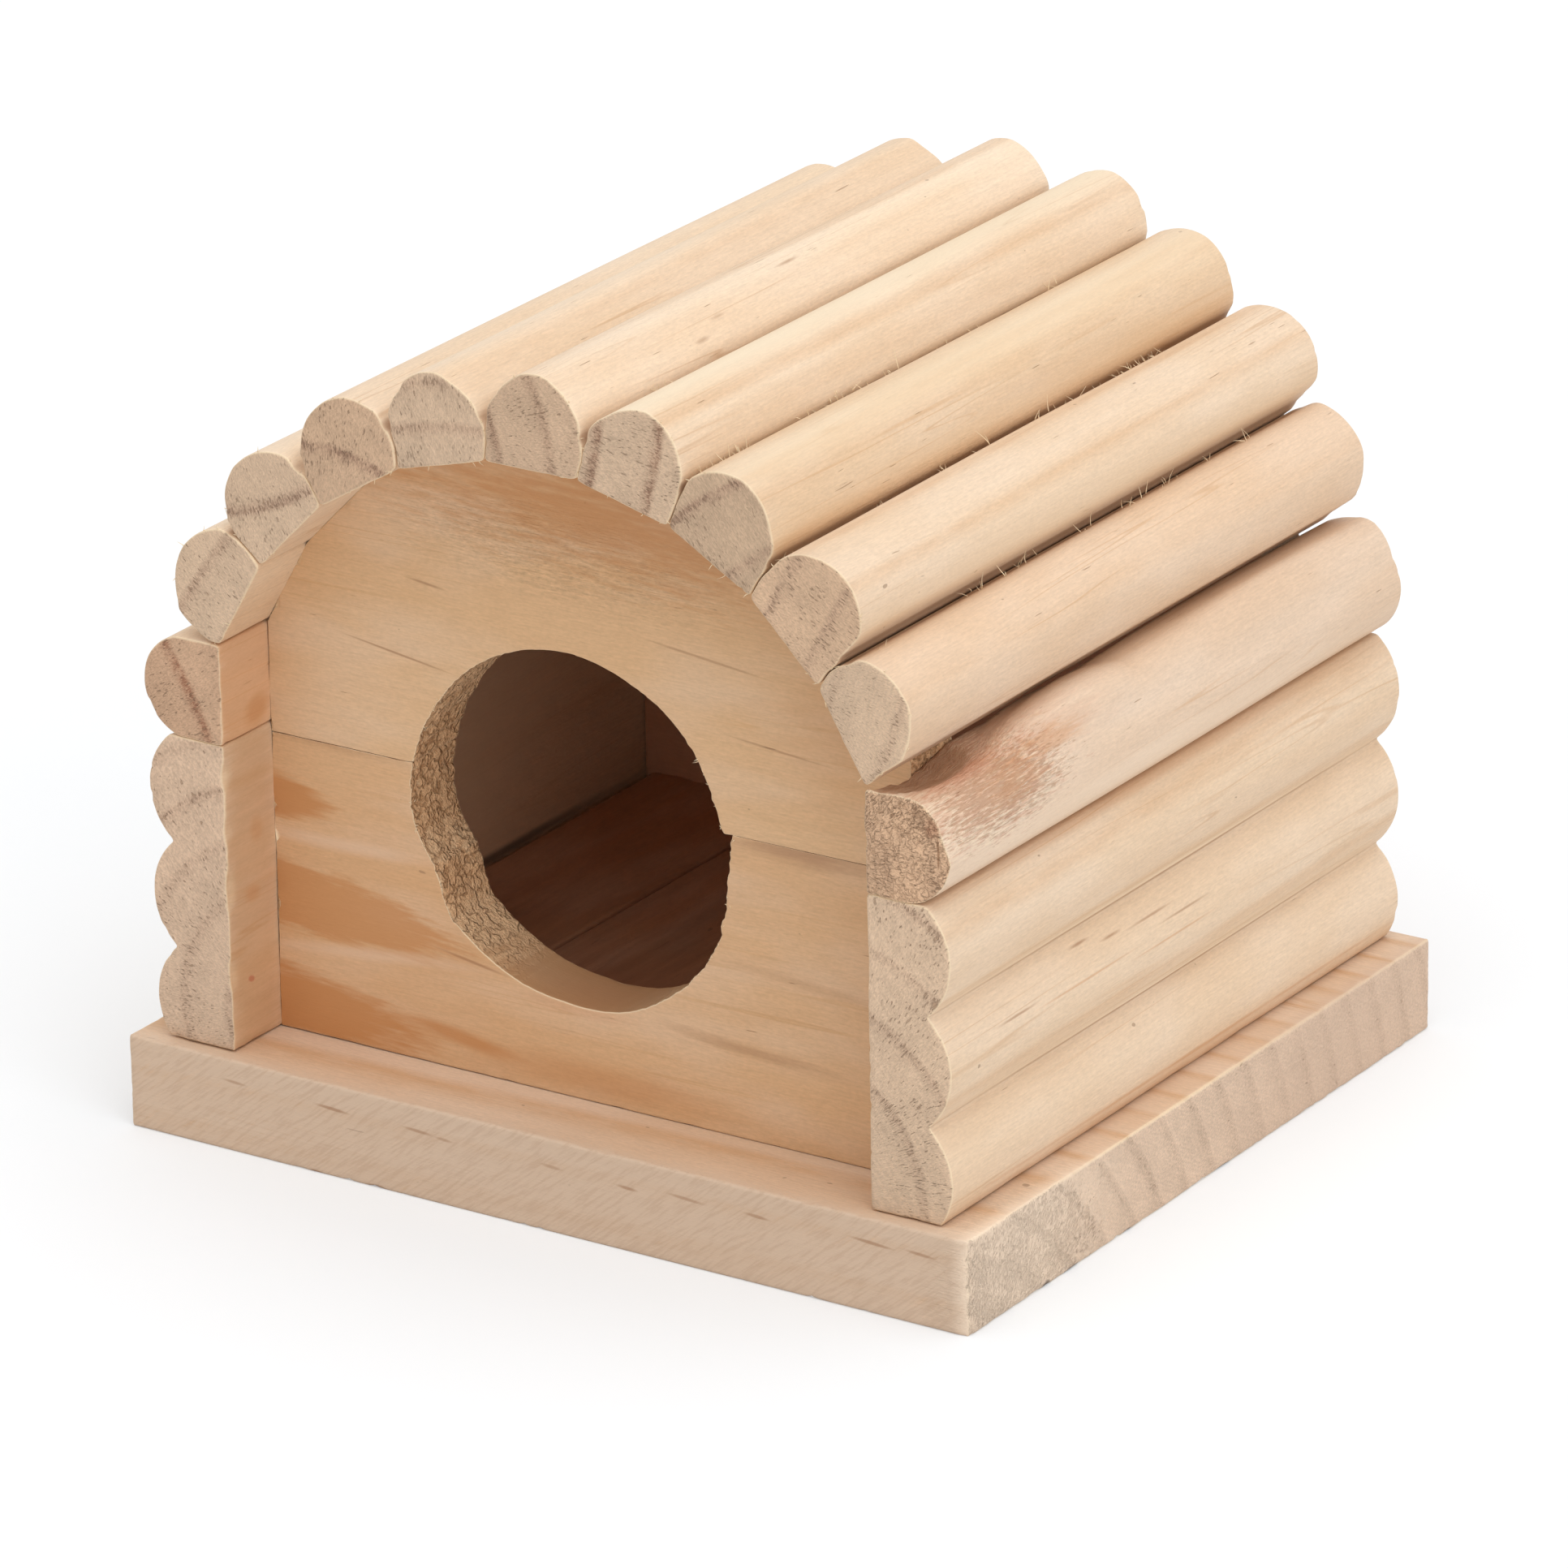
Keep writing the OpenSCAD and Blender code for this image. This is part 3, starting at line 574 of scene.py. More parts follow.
def sawn_solid(outline, corner_gap, levels, axis, edge, worn, cap_step, pits, luck):
    """Points, faces and edge distances of an outline drawn out between two levels with rounded ends.

    `worn` is the share of the rounding that each point of the outline gets.
    """
    normal = outward(outline)
    worn = unfolded(outline, normal, edge, worn)
    start, stop = levels[0], levels[-1]
    quarter = [math.radians(a) for a in EDGE_TURNS]
    first = [(start + edge * (1 - math.cos(a)), edge * (1 - math.sin(a))) for a in quarter]
    last = [(stop - (t - start), inset) for t, inset in reversed(first)]
    rows = first + [(t, 0.0) for t in levels[1:-1]] + last
    count = len(outline)
    flat = np.vstack([outline - normal * inset * worn for _, inset in rows])
    along = np.repeat([t for t, _ in rows], count)
    gap = np.minimum(np.minimum(along - start, stop - along), np.tile(corner_gap, len(rows)))
    faces = []
    for row in range(len(rows) - 1):
        for i in range(count):
            j = (i + 1) % count
            faces.append((row * count + i, row * count + j, (row + 1) * count + j, (row + 1) * count + i))
    for level, row, holes in ((start, 0, pits), (stop, len(rows) - 1, ())):
        border = flat[row * count:(row + 1) * count]
        extra = face_points(border, cap_step, edge, holes, luck)
        rim = [(i, (i + 1) % count) for i in range(count)]
        made = delaunay_2d_cdt([Vector(p) for p in np.vstack([border, extra])], rim, [], 1, 1e-6)
        places, origins = np.array([tuple(v) for v in made[0]]), made[3]
        base = len(flat)
        number = {}
        fresh = []
        for i, origin in enumerate(origins):
            if origin and origin[0] < count:
                number[i] = row * count + origin[0]
            else:
                number[i] = base + len(fresh)
                fresh.append(places[i])
        faces += [tuple(number[i] for i in face) for face in made[2]]
        fresh = np.array(fresh)
        height = np.full(len(fresh), level, float)
        for centre, radius, depth in holes:
            height[np.linalg.norm(fresh - centre, axis=1) < radius * PIT_WALL] += depth
        flat = np.vstack([flat, fresh])
        along = np.concatenate([along, height])
        gap = np.concatenate([gap, nearest(fresh, border)])
    return np.insert(flat, axis, along, 1), faces, gap


def add_mesh(name, points, faces):
    """A smooth shaded mesh object from points in mm, with its faces turned outwards."""
    mesh = bpy.data.meshes.new(name)
    mesh.from_pydata((points * MM).tolist(), [], faces)
    work = bmesh.new()
    work.from_mesh(mesh)
    bmesh.ops.recalc_face_normals(work, faces=work.faces)
    work.to_mesh(mesh)
    work.free()
    mesh.shade_smooth()
    made = bpy.data.objects.new(name, mesh)
    bpy.context.scene.collection.objects.link(made)
    return made


def skin(mesh):
    """Places in mm and normals of a mesh's points."""
    places, normals = np.empty(len(mesh.vertices) * 3), np.empty(len(mesh.vertices) * 3)
    mesh.vertices.foreach_get("co", places)
    mesh.vertex_normals.foreach_get("vector", normals)
    return places.reshape(-1, 3) / MM, normals.reshape(-1, 3)


def grain_cell(across, along, grain):
    """The size of a swell that is longer along the grain."""
    return [along if axis == grain else across for axis in (X, Y, Z)]


def roughen(piece, gap, grain, shape, seed, edge, tear, dents):
    """Moves the skin of a wooden piece: waves and ripples on its faces, torn ends and chipped edges."""
    points, normals = skin(piece.data)
    end = np.abs(normals[:, grain]) ** 2
    wave, chip = shape.wave / MM, shape.chip / MM * min(1, edge / FULL_EDGE)
    move = wave * swell(points, grain_cell(9.0, 38, grain), seed)
    move += RIPPLE * swell(points, grain_cell(1.3, 24, grain), seed + 1) * (1 - end)
    torn = 0.6 * swell(points, 0.6, seed + 2) + swell(points, 1.7, seed + 3)
    move += tear * torn * end
    bite = np.clip(swell(points, 1.2, seed + 4) - 0.35, 0, 1)
    move -= chip * bite * np.exp(-gap / CHIP_REACH)
    points += normals * move[:, None]
    for dent in dents:
        depth = np.clip(1 - np.linalg.norm((points - dent.centre) / dent.size, axis=1), 0, 1) ** 0.6
        depth *= 1 + dent.torn * swell(points, 1.1, seed + 5)
        points += depth[:, None] * dent.push
    piece.data.vertices.foreach_set("co", (points * MM).ravel())
    piece.data.update()


def spaced(start, stop, edge, step, fine):
    """Levels from start to stop, close together near the two ends."""
    near = [edge + gap for gap in ((0, 0.3, 0.8, 1.8, 3.6) if fine else (0, 0.5))]
    inner = np.linspace(start + near[-1], stop - near[-1], max(2, int((stop - start) / step)))
    return [start] + [start + d for d in near[:-1]] + list(inner) + [stop - d for d in near[-2::-1]] + [stop]


def thinned(path, gap, widest, focus=None):
    """Leaves out points where a path runs straight. `focus` is a centre, a radius and a spacing to keep."""
    headings = np.arctan2(*(np.roll(path, -1, 0) - path).T[::-1])
    keep = [0]
    turned = travelled = 0.0
    for i in range(1, len(path)):
        turned += abs((headings[i] - headings[i - 1] + math.pi) % (2 * math.pi) - math.pi)
        travelled += np.linalg.norm(path[i] - path[i - 1])
        limit = widest
        if focus is not None and np.linalg.norm(path[i] - focus[0]) < focus[1]:
            limit = focus[2]
        if turned > BEND or travelled >= limit:
            keep.append(i)
            turned = travelled = 0.0
    return path[keep], gap[keep]


def resting_face(loop):
    """Middle of the longest flat of an outline, and the unit direction from it into the wood."""
    ahead = np.roll(loop, -1, 0) - loop
    side = int(np.argmax(np.linalg.norm(ahead, axis=1)))
    along = ahead[side] / np.linalg.norm(ahead[side])
    return loop[side] + ahead[side] / 2, np.array([-along[1], along[0]])


def log_frame(loop):
    """Middle of a log's flat side, the directions up and right from it, and half the width of the flat."""
    foot, up = resting_face(loop)
    right = np.array([up[1], -up[0]])
    half = np.abs((loop - foot) @ right)[np.abs((loop - foot) @ up) < LEVEL].max()
    return foot, up, right, half


def push_at(turn, bumps):
    """How far out a shape stands at each direction, from its pairs of direction and mm."""
    return np.interp(turn, *zip(*bumps), period=360)


def hand_shaped(path, loop, bumps):
    """Moves a log's outline in or out by direction, as its maker's sanding did."""
    foot, up, right, _ = log_frame(loop)
    arm = path - (foot + LOG_MIDDLE * up)
    push = push_at(np.degrees(np.arctan2(arm @ up, arm @ right)), bumps)
    rise = np.clip((path - foot) @ up / FOOT_REACH, 0, 1)
    return path + arm / np.linalg.norm(arm, axis=1)[:, None] * (push * rise)[:, None]


def joined(path, loop, shifts, lean):
    """Brings the low part of a log's sides to the joints with its neighbours, which `shifts` places.

    A shift of None leaves that side alone. `lean` is how far a joint leans from the log's middle.
    """
    foot, up, right, half = log_frame(loop)
    across, height = (path - foot) @ right, (path - foot) @ up
    hold = np.clip((JOINT_TOP - height) / 1.6, 0, 1) * np.clip(height / 0.5, 0, 1)
    for side, shift in zip((-1, 1), shifts):
        if shift is not None:
            joint = side * (half + JOINT_OUT + height * math.tan(lean)) + shift * np.clip(height / 2.5, 0, 1)
            share = np.where(across * side > half * 0.7, hold, 0)
            path = path + (share * (joint - across))[:, None] * right
    return soften(path, 2)


def crease_shade(loop, shifts, lean):
    """Painted shade: dark lines along the bottom of the grooves beside a roof log, which `shifts` places."""
    foot, up, right, half = log_frame(loop)
    made = []
    for side, shift in zip((-1, 1), shifts):
        if shift is not None:
            across = side * (half + JOINT_TOP * math.tan(lean)) + shift
            x, z = foot + JOINT_TOP * up + across * right
            made.append(stripe(x, z, 1.1, 0.8, 0.55, BROWN, 0.3))
    return made


def entrance():
    """Centre and radius in mm of the round entrance, from the corners of the lower front board."""
    loop = end_loops("front_panel_lower", Y)[0]
    low, high = loop.min(0) + LEVEL, loop.max(0) - LEVEL
    arc = loop[((loop > low) & (loop < high)).all(1)]
    system = np.column_stack([2 * arc, np.ones(len(arc))])
    x, z, rest = np.linalg.lstsq(system, (arc ** 2).sum(1), rcond=None)[0]
    return np.array([x, z]), math.sqrt(rest + x * x + z * z)


def hole_sawn(path):
    """Moves the part of a panel's outline that lies on the entrance, as the hole saw left it."""
    centre, radius = entrance()
    arm = path - centre
    reach = np.linalg.norm(arm, axis=1)
    turn = np.degrees(np.arctan2(arm[:, 1], arm[:, 0]))
    if path[:, 1].mean() < centre[1]:
        turn = np.where(np.abs(turn) < 90, np.minimum(turn, STEP_TURN), turn)
    teeth = swell(np.insert(path, 1, 0.0, 1), 0.55, 77)
    push = push_at(turn, HOLE_SHAPE) + TEETH * teeth * np.abs(arm[:, 0]) / np.maximum(reach, 1)
    on_rim = np.clip(1.2 - np.abs(reach - radius), 0, 1)
    return path + arm / np.maximum(reach, 1)[:, None] * (push * on_rim)[:, None]


def raised(path, gap):
    """Lifts the flat foot of an outline, which leaves a thin joint below it."""
    return np.column_stack([path[:, 0], np.maximum(path[:, 1], path[:, 1].min() + gap)])


def finish_piece(piece, node, material):
    """Puts a piece in the place of its CAD node, with its body and material."""
    piece.data.materials.append(material)
    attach(piece, BODY)
    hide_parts(node)
    return piece


# ---------------------------------------------------------------- shader nodes


class Tree:
    """Adds nodes to a shader tree. An input is a socket to link or a value to set."""

    def __init__(self, tree):
        self.tree = tree

    def node(self, kind, inputs=None, **settings):
        """A new node with its settings, and with its inputs by number or name."""
        made = self.tree.nodes.new("ShaderNode" + kind)
        for key, value in settings.items():
            setattr(made, key, value)
        for key, value in (inputs or {}).items():
            self.feed(made.inputs[key], value)
        return made

    def feed(self, socket, value):
        """Links a socket to another one, or sets its value."""
        if isinstance(value, bpy.types.NodeSocket):
            self.tree.links.new(value, socket)
        else:
            socket.default_value = value

    def math(self, operation, a, b=0.0, clamp=False):
        """A sum of two numbers, or a measure of the first one alone."""
        return self.node("Math", {0: a, 1: b}, operation=operation, use_clamp=clamp).outputs[0]

    def plus(self, a, b, clamp=False):
        return self.math("ADD", a, b, clamp)

    def minus(self, a, b):
        return self.math("SUBTRACT", a, b)

    def times(self, a, b):
        return self.math("MULTIPLY", a, b)

    def vector(self, operation, a, b):
        """A sum of two vectors."""
        return self.node("VectorMath", {0: a, 1: b}, operation=operation).outputs[0]

    def scaled(self, a, factor):
        """A vector that is longer by a factor."""
        return self.node("VectorMath", {0: a, "Scale": factor}, operation="SCALE").outputs[0]

    def measure(self, operation, inputs):
        """A number taken from vectors, such as a length."""
        return self.node("VectorMath", inputs, operation=operation).outputs["Value"]

    def place(self):
        """The point of the piece, in mm."""
        return self.scaled(self.node("TexCoord").outputs["Object"], 1 / MM)

    def span(self, value, low, high, to_low=0.0, to_high=1.0):
        """A value eased from one range to another, and held at its ends."""
        inputs = {"Value": value, "From Min": low, "From Max": high, "To Min": to_low, "To Max": to_high}
        return self.node("MapRange", inputs, interpolation_type="SMOOTHSTEP").outputs[0]

    def mix(self, share, a, b, blend="MIX"):
        """Colour a with a share of colour b over it."""
        made = self.node("Mix", data_type="RGBA", blend_type=blend)
        self.feed(made.inputs[0], share)
        self.feed(made.inputs[6], a)
        self.feed(made.inputs[7], b)
        return made.outputs[2]

    def shaded(self, tone, value):
        """A colour made darker or lighter by a value."""
        grey = self.node("CombineColor", {0: value, 1: value, 2: value}).outputs[0]
        return self.mix(1.0, tone, grey, "MULTIPLY")

    def noise(self, point, stretch, seed, detail=2.0, roughness=0.5):
        """Noise from 0 to 1 whose swells are 1 / stretch mm wide along each axis."""
        shift = self.node("CombineXYZ", {0: seed, 1: self.times(seed, 1.7), 2: seed}).outputs[0]
        place = self.vector("ADD", self.vector("MULTIPLY", point, stretch), shift)
        inputs = {"Vector": place, "Scale": 1.0, "Detail": detail, "Roughness": roughness}
        return self.node("TexNoise", inputs).outputs[0]

    def group(self, shared, inputs):
        """The outputs of a shared node group that is placed in this tree."""
        made = self.node("Group", node_tree=shared)
        for key, value in inputs.items():
            self.feed(made.inputs[key], value)
        return made.outputs


# The kind of a group's input, by how many numbers its default has, and the outputs that aren't one number
INPUT_KINDS = {1: "Float", 3: "Vector", 4: "Color"}
OUTPUT_KINDS = {"Ray": "Vector", "Color": "Color"}
ORIGIN = (0, 0, 0)


def new_group(name, inputs, outputs):
    """An empty node group with its sockets, and the tree and input sockets to build it with."""
    group = bpy.data.node_groups.new(name, "ShaderNodeTree")
    for title, value in inputs.items():
        kind = INPUT_KINDS[np.size(value)]
        socket = group.interface.new_socket(title, in_out="INPUT", socket_type="NodeSocket" + kind)
        socket.default_value = value
    for title in outputs:
        kind = OUTPUT_KINDS.get(title, "Float")
        group.interface.new_socket(title, in_out="OUTPUT", socket_type="NodeSocket" + kind)
    source = group.nodes.new("NodeGroupInput").outputs
    sink = group.nodes.new("NodeGroupOutput").inputs
    return group, Tree(group), source, sink


def growth_rings():
    """Rings about a leaning pith: the dark line that ends each year, and a tone for each year."""
    group, t, given, out = new_group(
        "Growth rings",
        {"Point": ORIGIN, "Pith": ORIGIN, "Lean": ORIGIN, "First": 20.0, "Spacing": 5.0, "Wander": 1.0,
         "Seed": 0.0},
        ("Late", "Season", "Ray"),
    )
    along = t.node("SeparateXYZ", {0: given["Point"]}).outputs[0]
    lean = t.scaled(given["Lean"], along)
    arm = t.vector("SUBTRACT", t.vector("SUBTRACT", given["Point"], given["Pith"]), lean)
    arm = t.vector("MULTIPLY", arm, (0, 1, 1))
    sides = t.node("SeparateXYZ", {0: arm}).outputs
    arc = t.times(t.math("ARCTAN2", sides[2], sides[1]), given["First"])
    reach = t.measure("LENGTH", {0: arm})
    slow = t.minus(t.noise(given["Point"], (0.012, 0.07, 0.07), given["Seed"], 2.0), 0.5)
    quick = t.minus(t.noise(given["Point"], (0.1, 1.3, 1.3), given["Seed"], 2.0), 0.5)
    wander = t.times(t.plus(slow, t.times(quick, 0.35)), given["Wander"])
    reach = t.plus(t.minus(reach, given["First"]), wander)
    years = t.math("DIVIDE", t.plus(reach, t.minus(given["Spacing"], 0.6)), given["Spacing"])
    year = t.math("FLOOR", years)
    season = t.math("FRACT", years)
    left = t.times(t.minus(1.0, season), given["Spacing"])
    line = t.times(t.span(left, 0.6, 2.4, 1.0, 0.0), t.span(left, 0.0, 0.8))
    tone = t.node("TexWhiteNoise", {"W": t.plus(year, given["Seed"])}, noise_dimensions="1D").outputs[0]
    broken = t.span(t.noise(given["Point"], (0.12, 0.5, 0.5), given["Seed"], 2.0), 0.3, 0.6, 0.45, 1.0)
    line = t.times(line, broken)
    t.feed(out["Late"], t.times(line, t.span(tone, 0.0, 1.0, 0.6, 1.0)))
    t.feed(out["Season"], season)
    t.feed(out["Ray"], t.node("CombineXYZ", {0: along, 1: arc, 2: reach}).outputs[0])
    return group


def long_fibres():
    """Marks along the grain: fine fibres, broad streaks, soft clouds, resin dashes and dark specks."""
    group, t, given, out = new_group(
        "Long fibres",
        {"Point": ORIGIN, "Seed": 0.0, "Dashes": 0.5},
        ("Fibre", "Streak", "Cloud", "Dash", "Speck", "Hair"),
    )
    point, seed = given["Point"], given["Seed"]
    bent = t.noise(point, (0.012, 0.05, 0.05), seed, 1.0)
    drift = t.node("CombineXYZ", {0: 0.0, 1: t.times(bent, 4.0), 2: bent}).outputs[0]
    point = t.vector("ADD", point, drift)
    fleck = t.noise(point, (1.3, 3.6, 3.6), seed, 2.0, 0.6)
    fibre = t.times(t.plus(t.noise(point, (0.28, 4.6, 4.6), seed, 2.0, 0.7), fleck), 0.5)
    streak = t.noise(point, (0.006, 0.2, 0.2), t.plus(seed, 5.0), 3.0, 0.5)
    cloud = t.noise(point, (0.04, 0.13, 0.13), t.plus(seed, 31.0), 2.0)
    dash = t.noise(point, (0.19, 3.3, 3.3), t.plus(seed, 9.0), 1.0)
    patch = t.noise(point, (0.02, 0.11, 0.11), t.plus(seed, 14.0), 1.0)
    limit = t.minus(0.83, t.times(t.times(patch, given["Dashes"]), 0.22))
    dash = t.span(dash, limit, t.plus(limit, 0.06))
    speck = t.span(t.noise(point, (0.55, 0.9, 0.9), t.plus(seed, 21.0), 0.0), 0.88, 0.905)
    hair = t.noise(point, (0.012, 0.42, 0.42), t.plus(seed, 44.0), 1.0)
    hair = t.span(t.math("ABSOLUTE", t.minus(hair, 0.5)), 0.0, 0.02, 1.0, 0.0)
    hair = t.times(hair, t.span(patch, 0.5, 0.66))
    for title, value in (("Fibre", fibre), ("Streak", streak), ("Cloud", cloud), ("Dash", dash),
                         ("Speck", speck), ("Hair", hair)):
        t.feed(out[title], value)
    return group


def sawn_end():
    """Marks on end grain: torn pits, cut fibres, the saw's lines, and crumbs where it tore deep."""
    group, t, given, out = new_group(
        "Sawn end",
        {"Point": ORIGIN, "Ray": ORIGIN, "Saw angle": 0.9, "Torn": 0.4, "Late": 0.0, "Crumb size": 1.0,
         "Seed": 0.0},
        ("Pit", "Fibre", "Saw line", "Cloud", "Crumb"),
    )
    turned = t.node("VectorRotate", {"Vector": given["Point"], "Angle": given["Saw angle"]},
                    rotation_type="X_AXIS").outputs[0]
    seed = given["Seed"]
    cloud = t.noise(given["Point"], (0.1, 0.2, 0.2), seed, 2.0)
    pit = t.noise(given["Ray"], (1.2, 3.8, 1.2), t.plus(seed, 3.0), 1.0, 0.6)
    reach = t.plus(t.times(cloud, 0.32), t.times(given["Torn"], 0.33))
    limit = t.minus(t.minus(0.93, reach), t.times(given["Late"], 0.13))
    pit = t.span(pit, limit, t.plus(limit, 0.12))
    fibre = t.noise(given["Ray"], (2.0, 5.5, 2.4), t.plus(seed, 6.0), 3.0, 0.65)
    line = t.noise(turned, (0.5, 0.22, 3.4), t.plus(seed, 11.0), 2.0)
    near = t.vector("DIVIDE", given["Point"], given["Crumb size"])
    worm = t.noise(near, (0.75, 0.75, 0.75), t.plus(seed, 17.0), 2.0, 0.45)
    block = t.span(t.math("ABSOLUTE", t.minus(worm, 0.5)), 0.0, 0.08)
    grit = t.noise(near, (2.4, 2.4, 2.4), t.plus(seed, 27.0), 2.0, 0.6)
    crumb = t.plus(t.times(block, 0.62), t.times(t.span(grit, 0.3, 0.68), 0.38))
    for title, value in (("Pit", pit), ("Fibre", fibre), ("Saw line", line), ("Cloud", cloud),
                         ("Crumb", crumb)):
        t.feed(out[title], value)
    return group


def cut_direction():
    """How far a surface faces along the grain, and where it turns between end and long grain."""
    group, t, given, out = new_group(
        "Cut direction",
        {"Normal": (0, 0, 1), "Grain": (0, 1, 0), "From": 0.45, "To": 0.85},
        ("End", "Edge"),
    )
    facing = t.math("ABSOLUTE", t.measure("DOT_PRODUCT", {0: given["Normal"], 1: given["Grain"]}))
    t.feed(out["End"], t.span(facing, given["From"], given["To"]))
    rise = t.span(facing, 0.12, 0.45)
    fall = t.span(facing, 0.8, 0.97, 1.0, 0.0)
    t.feed(out["Edge"], t.times(rise, fall))
    return group


def patch_mask():
    """A patch about one point, tilted along the grain, with a ragged soft edge."""
    group, t, given, out = new_group(
        "Patch",
        {"Point": ORIGIN, "Centre": ORIGIN, "Size": (10, 2, 2), "Tilt": 0.0, "Soft": 0.6, "Ragged": 0.5,
         "Fine": 1.0, "Seed": 0.0},
        ("Mask",),
    )
    arm = t.vector("SUBTRACT", given["Point"], given["Centre"])
    arm = t.node("VectorRotate", {"Vector": arm, "Angle": given["Tilt"]}, rotation_type="Y_AXIS").outputs[0]
    reach = t.measure("LENGTH", {0: t.vector("DIVIDE", arm, given["Size"])})
    torn = t.noise(t.scaled(arm, given["Fine"]), (0.09, 0.8, 0.8), given["Seed"], 4.0, 0.6)
    reach = t.plus(reach, t.times(t.minus(torn, 0.5), given["Ragged"]))
    t.feed(out["Mask"], t.span(reach, t.minus(1.0, given["Soft"]), 1.0, 1.0, 0.0))
    return group


def long_skin():
    """Colour and height in mm of pine cut along its grain."""
    group, t, given, out = new_group(
        "Long skin",
        {"Colour": (0.8, 0.6, 0.4, 1), "Late colour": (0.6, 0.4, 0.2, 1), "Ring strength": 0.4,
         "Streak strength": 0.5, "Torn": 0.0, "Late": 0.0, "Season": 0.0, "Fibre": 0.5, "Streak": 0.5,
         "Cloud": 0.5, "Dash": 0.0, "Speck": 0.0, "Hair": 0.0},
        ("Color", "Height"),
    )
    share = t.times(t.span(given["Streak"], 0.3, 0.7), given["Streak strength"])
    tone = t.mix(share, given["Colour"], given["Late colour"])
    tone = t.mix(t.times(t.span(given["Cloud"], 0.35, 0.7), 0.12), tone, (1.0, 0.93, 0.84, 1))
    ring = t.plus(given["Late"], t.times(given["Season"], 0.25))
    tone = t.mix(t.times(ring, given["Ring strength"]), tone, given["Late colour"])
    low = t.minus(0.9, t.times(given["Torn"], 0.25))
    high = t.plus(1.07, t.times(given["Torn"], 0.16))
    fibre = t.node("MapRange", {"Value": given["Fibre"], "From Min": 0.34, "From Max": 0.66, "To Min": low,
                                "To Max": high}).outputs[0]
    tone = t.shaded(tone, fibre)
    tone = t.mix(t.times(given["Dash"], 0.6), tone, (0.36, 0.19, 0.1, 1))
    tone = t.mix(t.times(given["Speck"], 0.55), tone, (0.24, 0.14, 0.08, 1))
    tone = t.mix(t.times(given["Hair"], 0.4), tone, (0.55, 0.3, 0.13, 1))
    t.feed(out["Color"], tone)
    depth = t.plus(0.04, t.times(given["Torn"], 0.3))
    height = t.times(given["Fibre"], depth)
    t.feed(out["Height"], t.minus(height, t.times(given["Dash"], 0.06)))
    return group


def end_skin():
    """Colour and height in mm of pine sawn across its grain."""
    group, t, given, out = new_group(
        "End skin",
        {"Colour": (0.8, 0.6, 0.4, 1), "Late colour": (0.6, 0.4, 0.2, 1), "Ring strength": 0.7,
         "Season gain": 0.16, "Tear depth": 0.1, "Crumble": 0.0, "Late": 0.0, "Season": 0.0, "Pit": 0.0,
         "Fibre": 0.5, "Saw line": 0.5, "Cloud": 0.5, "Crumb": 0.5},
        ("Color", "Height"),
    )
    ring = t.plus(given["Late"], t.times(given["Season"], given["Season gain"]))
    ring = t.times(ring, t.span(given["Fibre"], 0.35, 0.65, 1.3, 0.55))
    tone = t.mix(t.times(ring, given["Ring strength"]), given["Colour"], given["Late colour"])
    for title, low, high in (("Fibre", 0.84, 1.10), ("Saw line", 0.955, 1.04), ("Cloud", 1.05, 0.95)):
        tone = t.shaded(tone, t.span(given[title], 0.3, 0.7, low, high))
    tone = t.mix(t.times(given["Pit"], 0.55), tone, (0.38, 0.23, 0.14, 1))
    share = t.span(given["Crumb"], 0.05, 0.85)
    crumbled = t.mix(1.0, tone, t.mix(share, (0.66, 0.55, 0.46, 1), (1.06, 0.99, 0.92, 1)), "MULTIPLY")
    t.feed(out["Color"], t.mix(given["Crumble"], tone, crumbled))
    rough = t.minus(given["Fibre"], given["Pit"])
    height = t.times(rough, given["Tear depth"])
    height = t.plus(height, t.times(given["Saw line"], 0.06))
    crumb = t.times(t.times(given["Crumb"], given["Crumble"]), 0.38)
    t.feed(out["Height"], t.plus(height, crumb))
    return group


def shared_group(title):
    """A node group that every wood uses, built when it is first asked for."""
    makers = {"Growth rings": growth_rings, "Long fibres": long_fibres, "Sawn end": sawn_end,
              "Cut direction": cut_direction, "Patch": patch_mask, "Long skin": long_skin,
              "End skin": end_skin}
    return bpy.data.node_groups.get(title) or makers[title]()


def full(rgb):
    """A colour with an alpha of one."""
    return (*rgb, 1.0)


def tinted(rgb, shares):
    """A colour with each of its parts taken times a share."""
    return [min(1.0, part * share) for part, share in zip(rgb, shares)]


def new_material(name):
    """A material, the tree to build it with and the inputs of its shader."""
    material = bpy.data.materials.new(name)
    material.use_nodes = True
    return material, Tree(material.node_tree), material.node_tree.nodes["Principled BSDF"].inputs


def spot_mask(t, point, order, spot, seed):
    """The mask of one spot on a piece whose grain runs along the first axis of `point`."""
    return t.group(shared_group("Patch"), {
        "Point": point, "Centre": [spot.centre[i] for i in order], "Size": [spot.size[i] for i in order],
        "Tilt": math.radians(spot.tilt), "Soft": spot.soft, "Ragged": spot.ragged,
        "Fine": spot.fine, "Seed": seed})["Mask"]


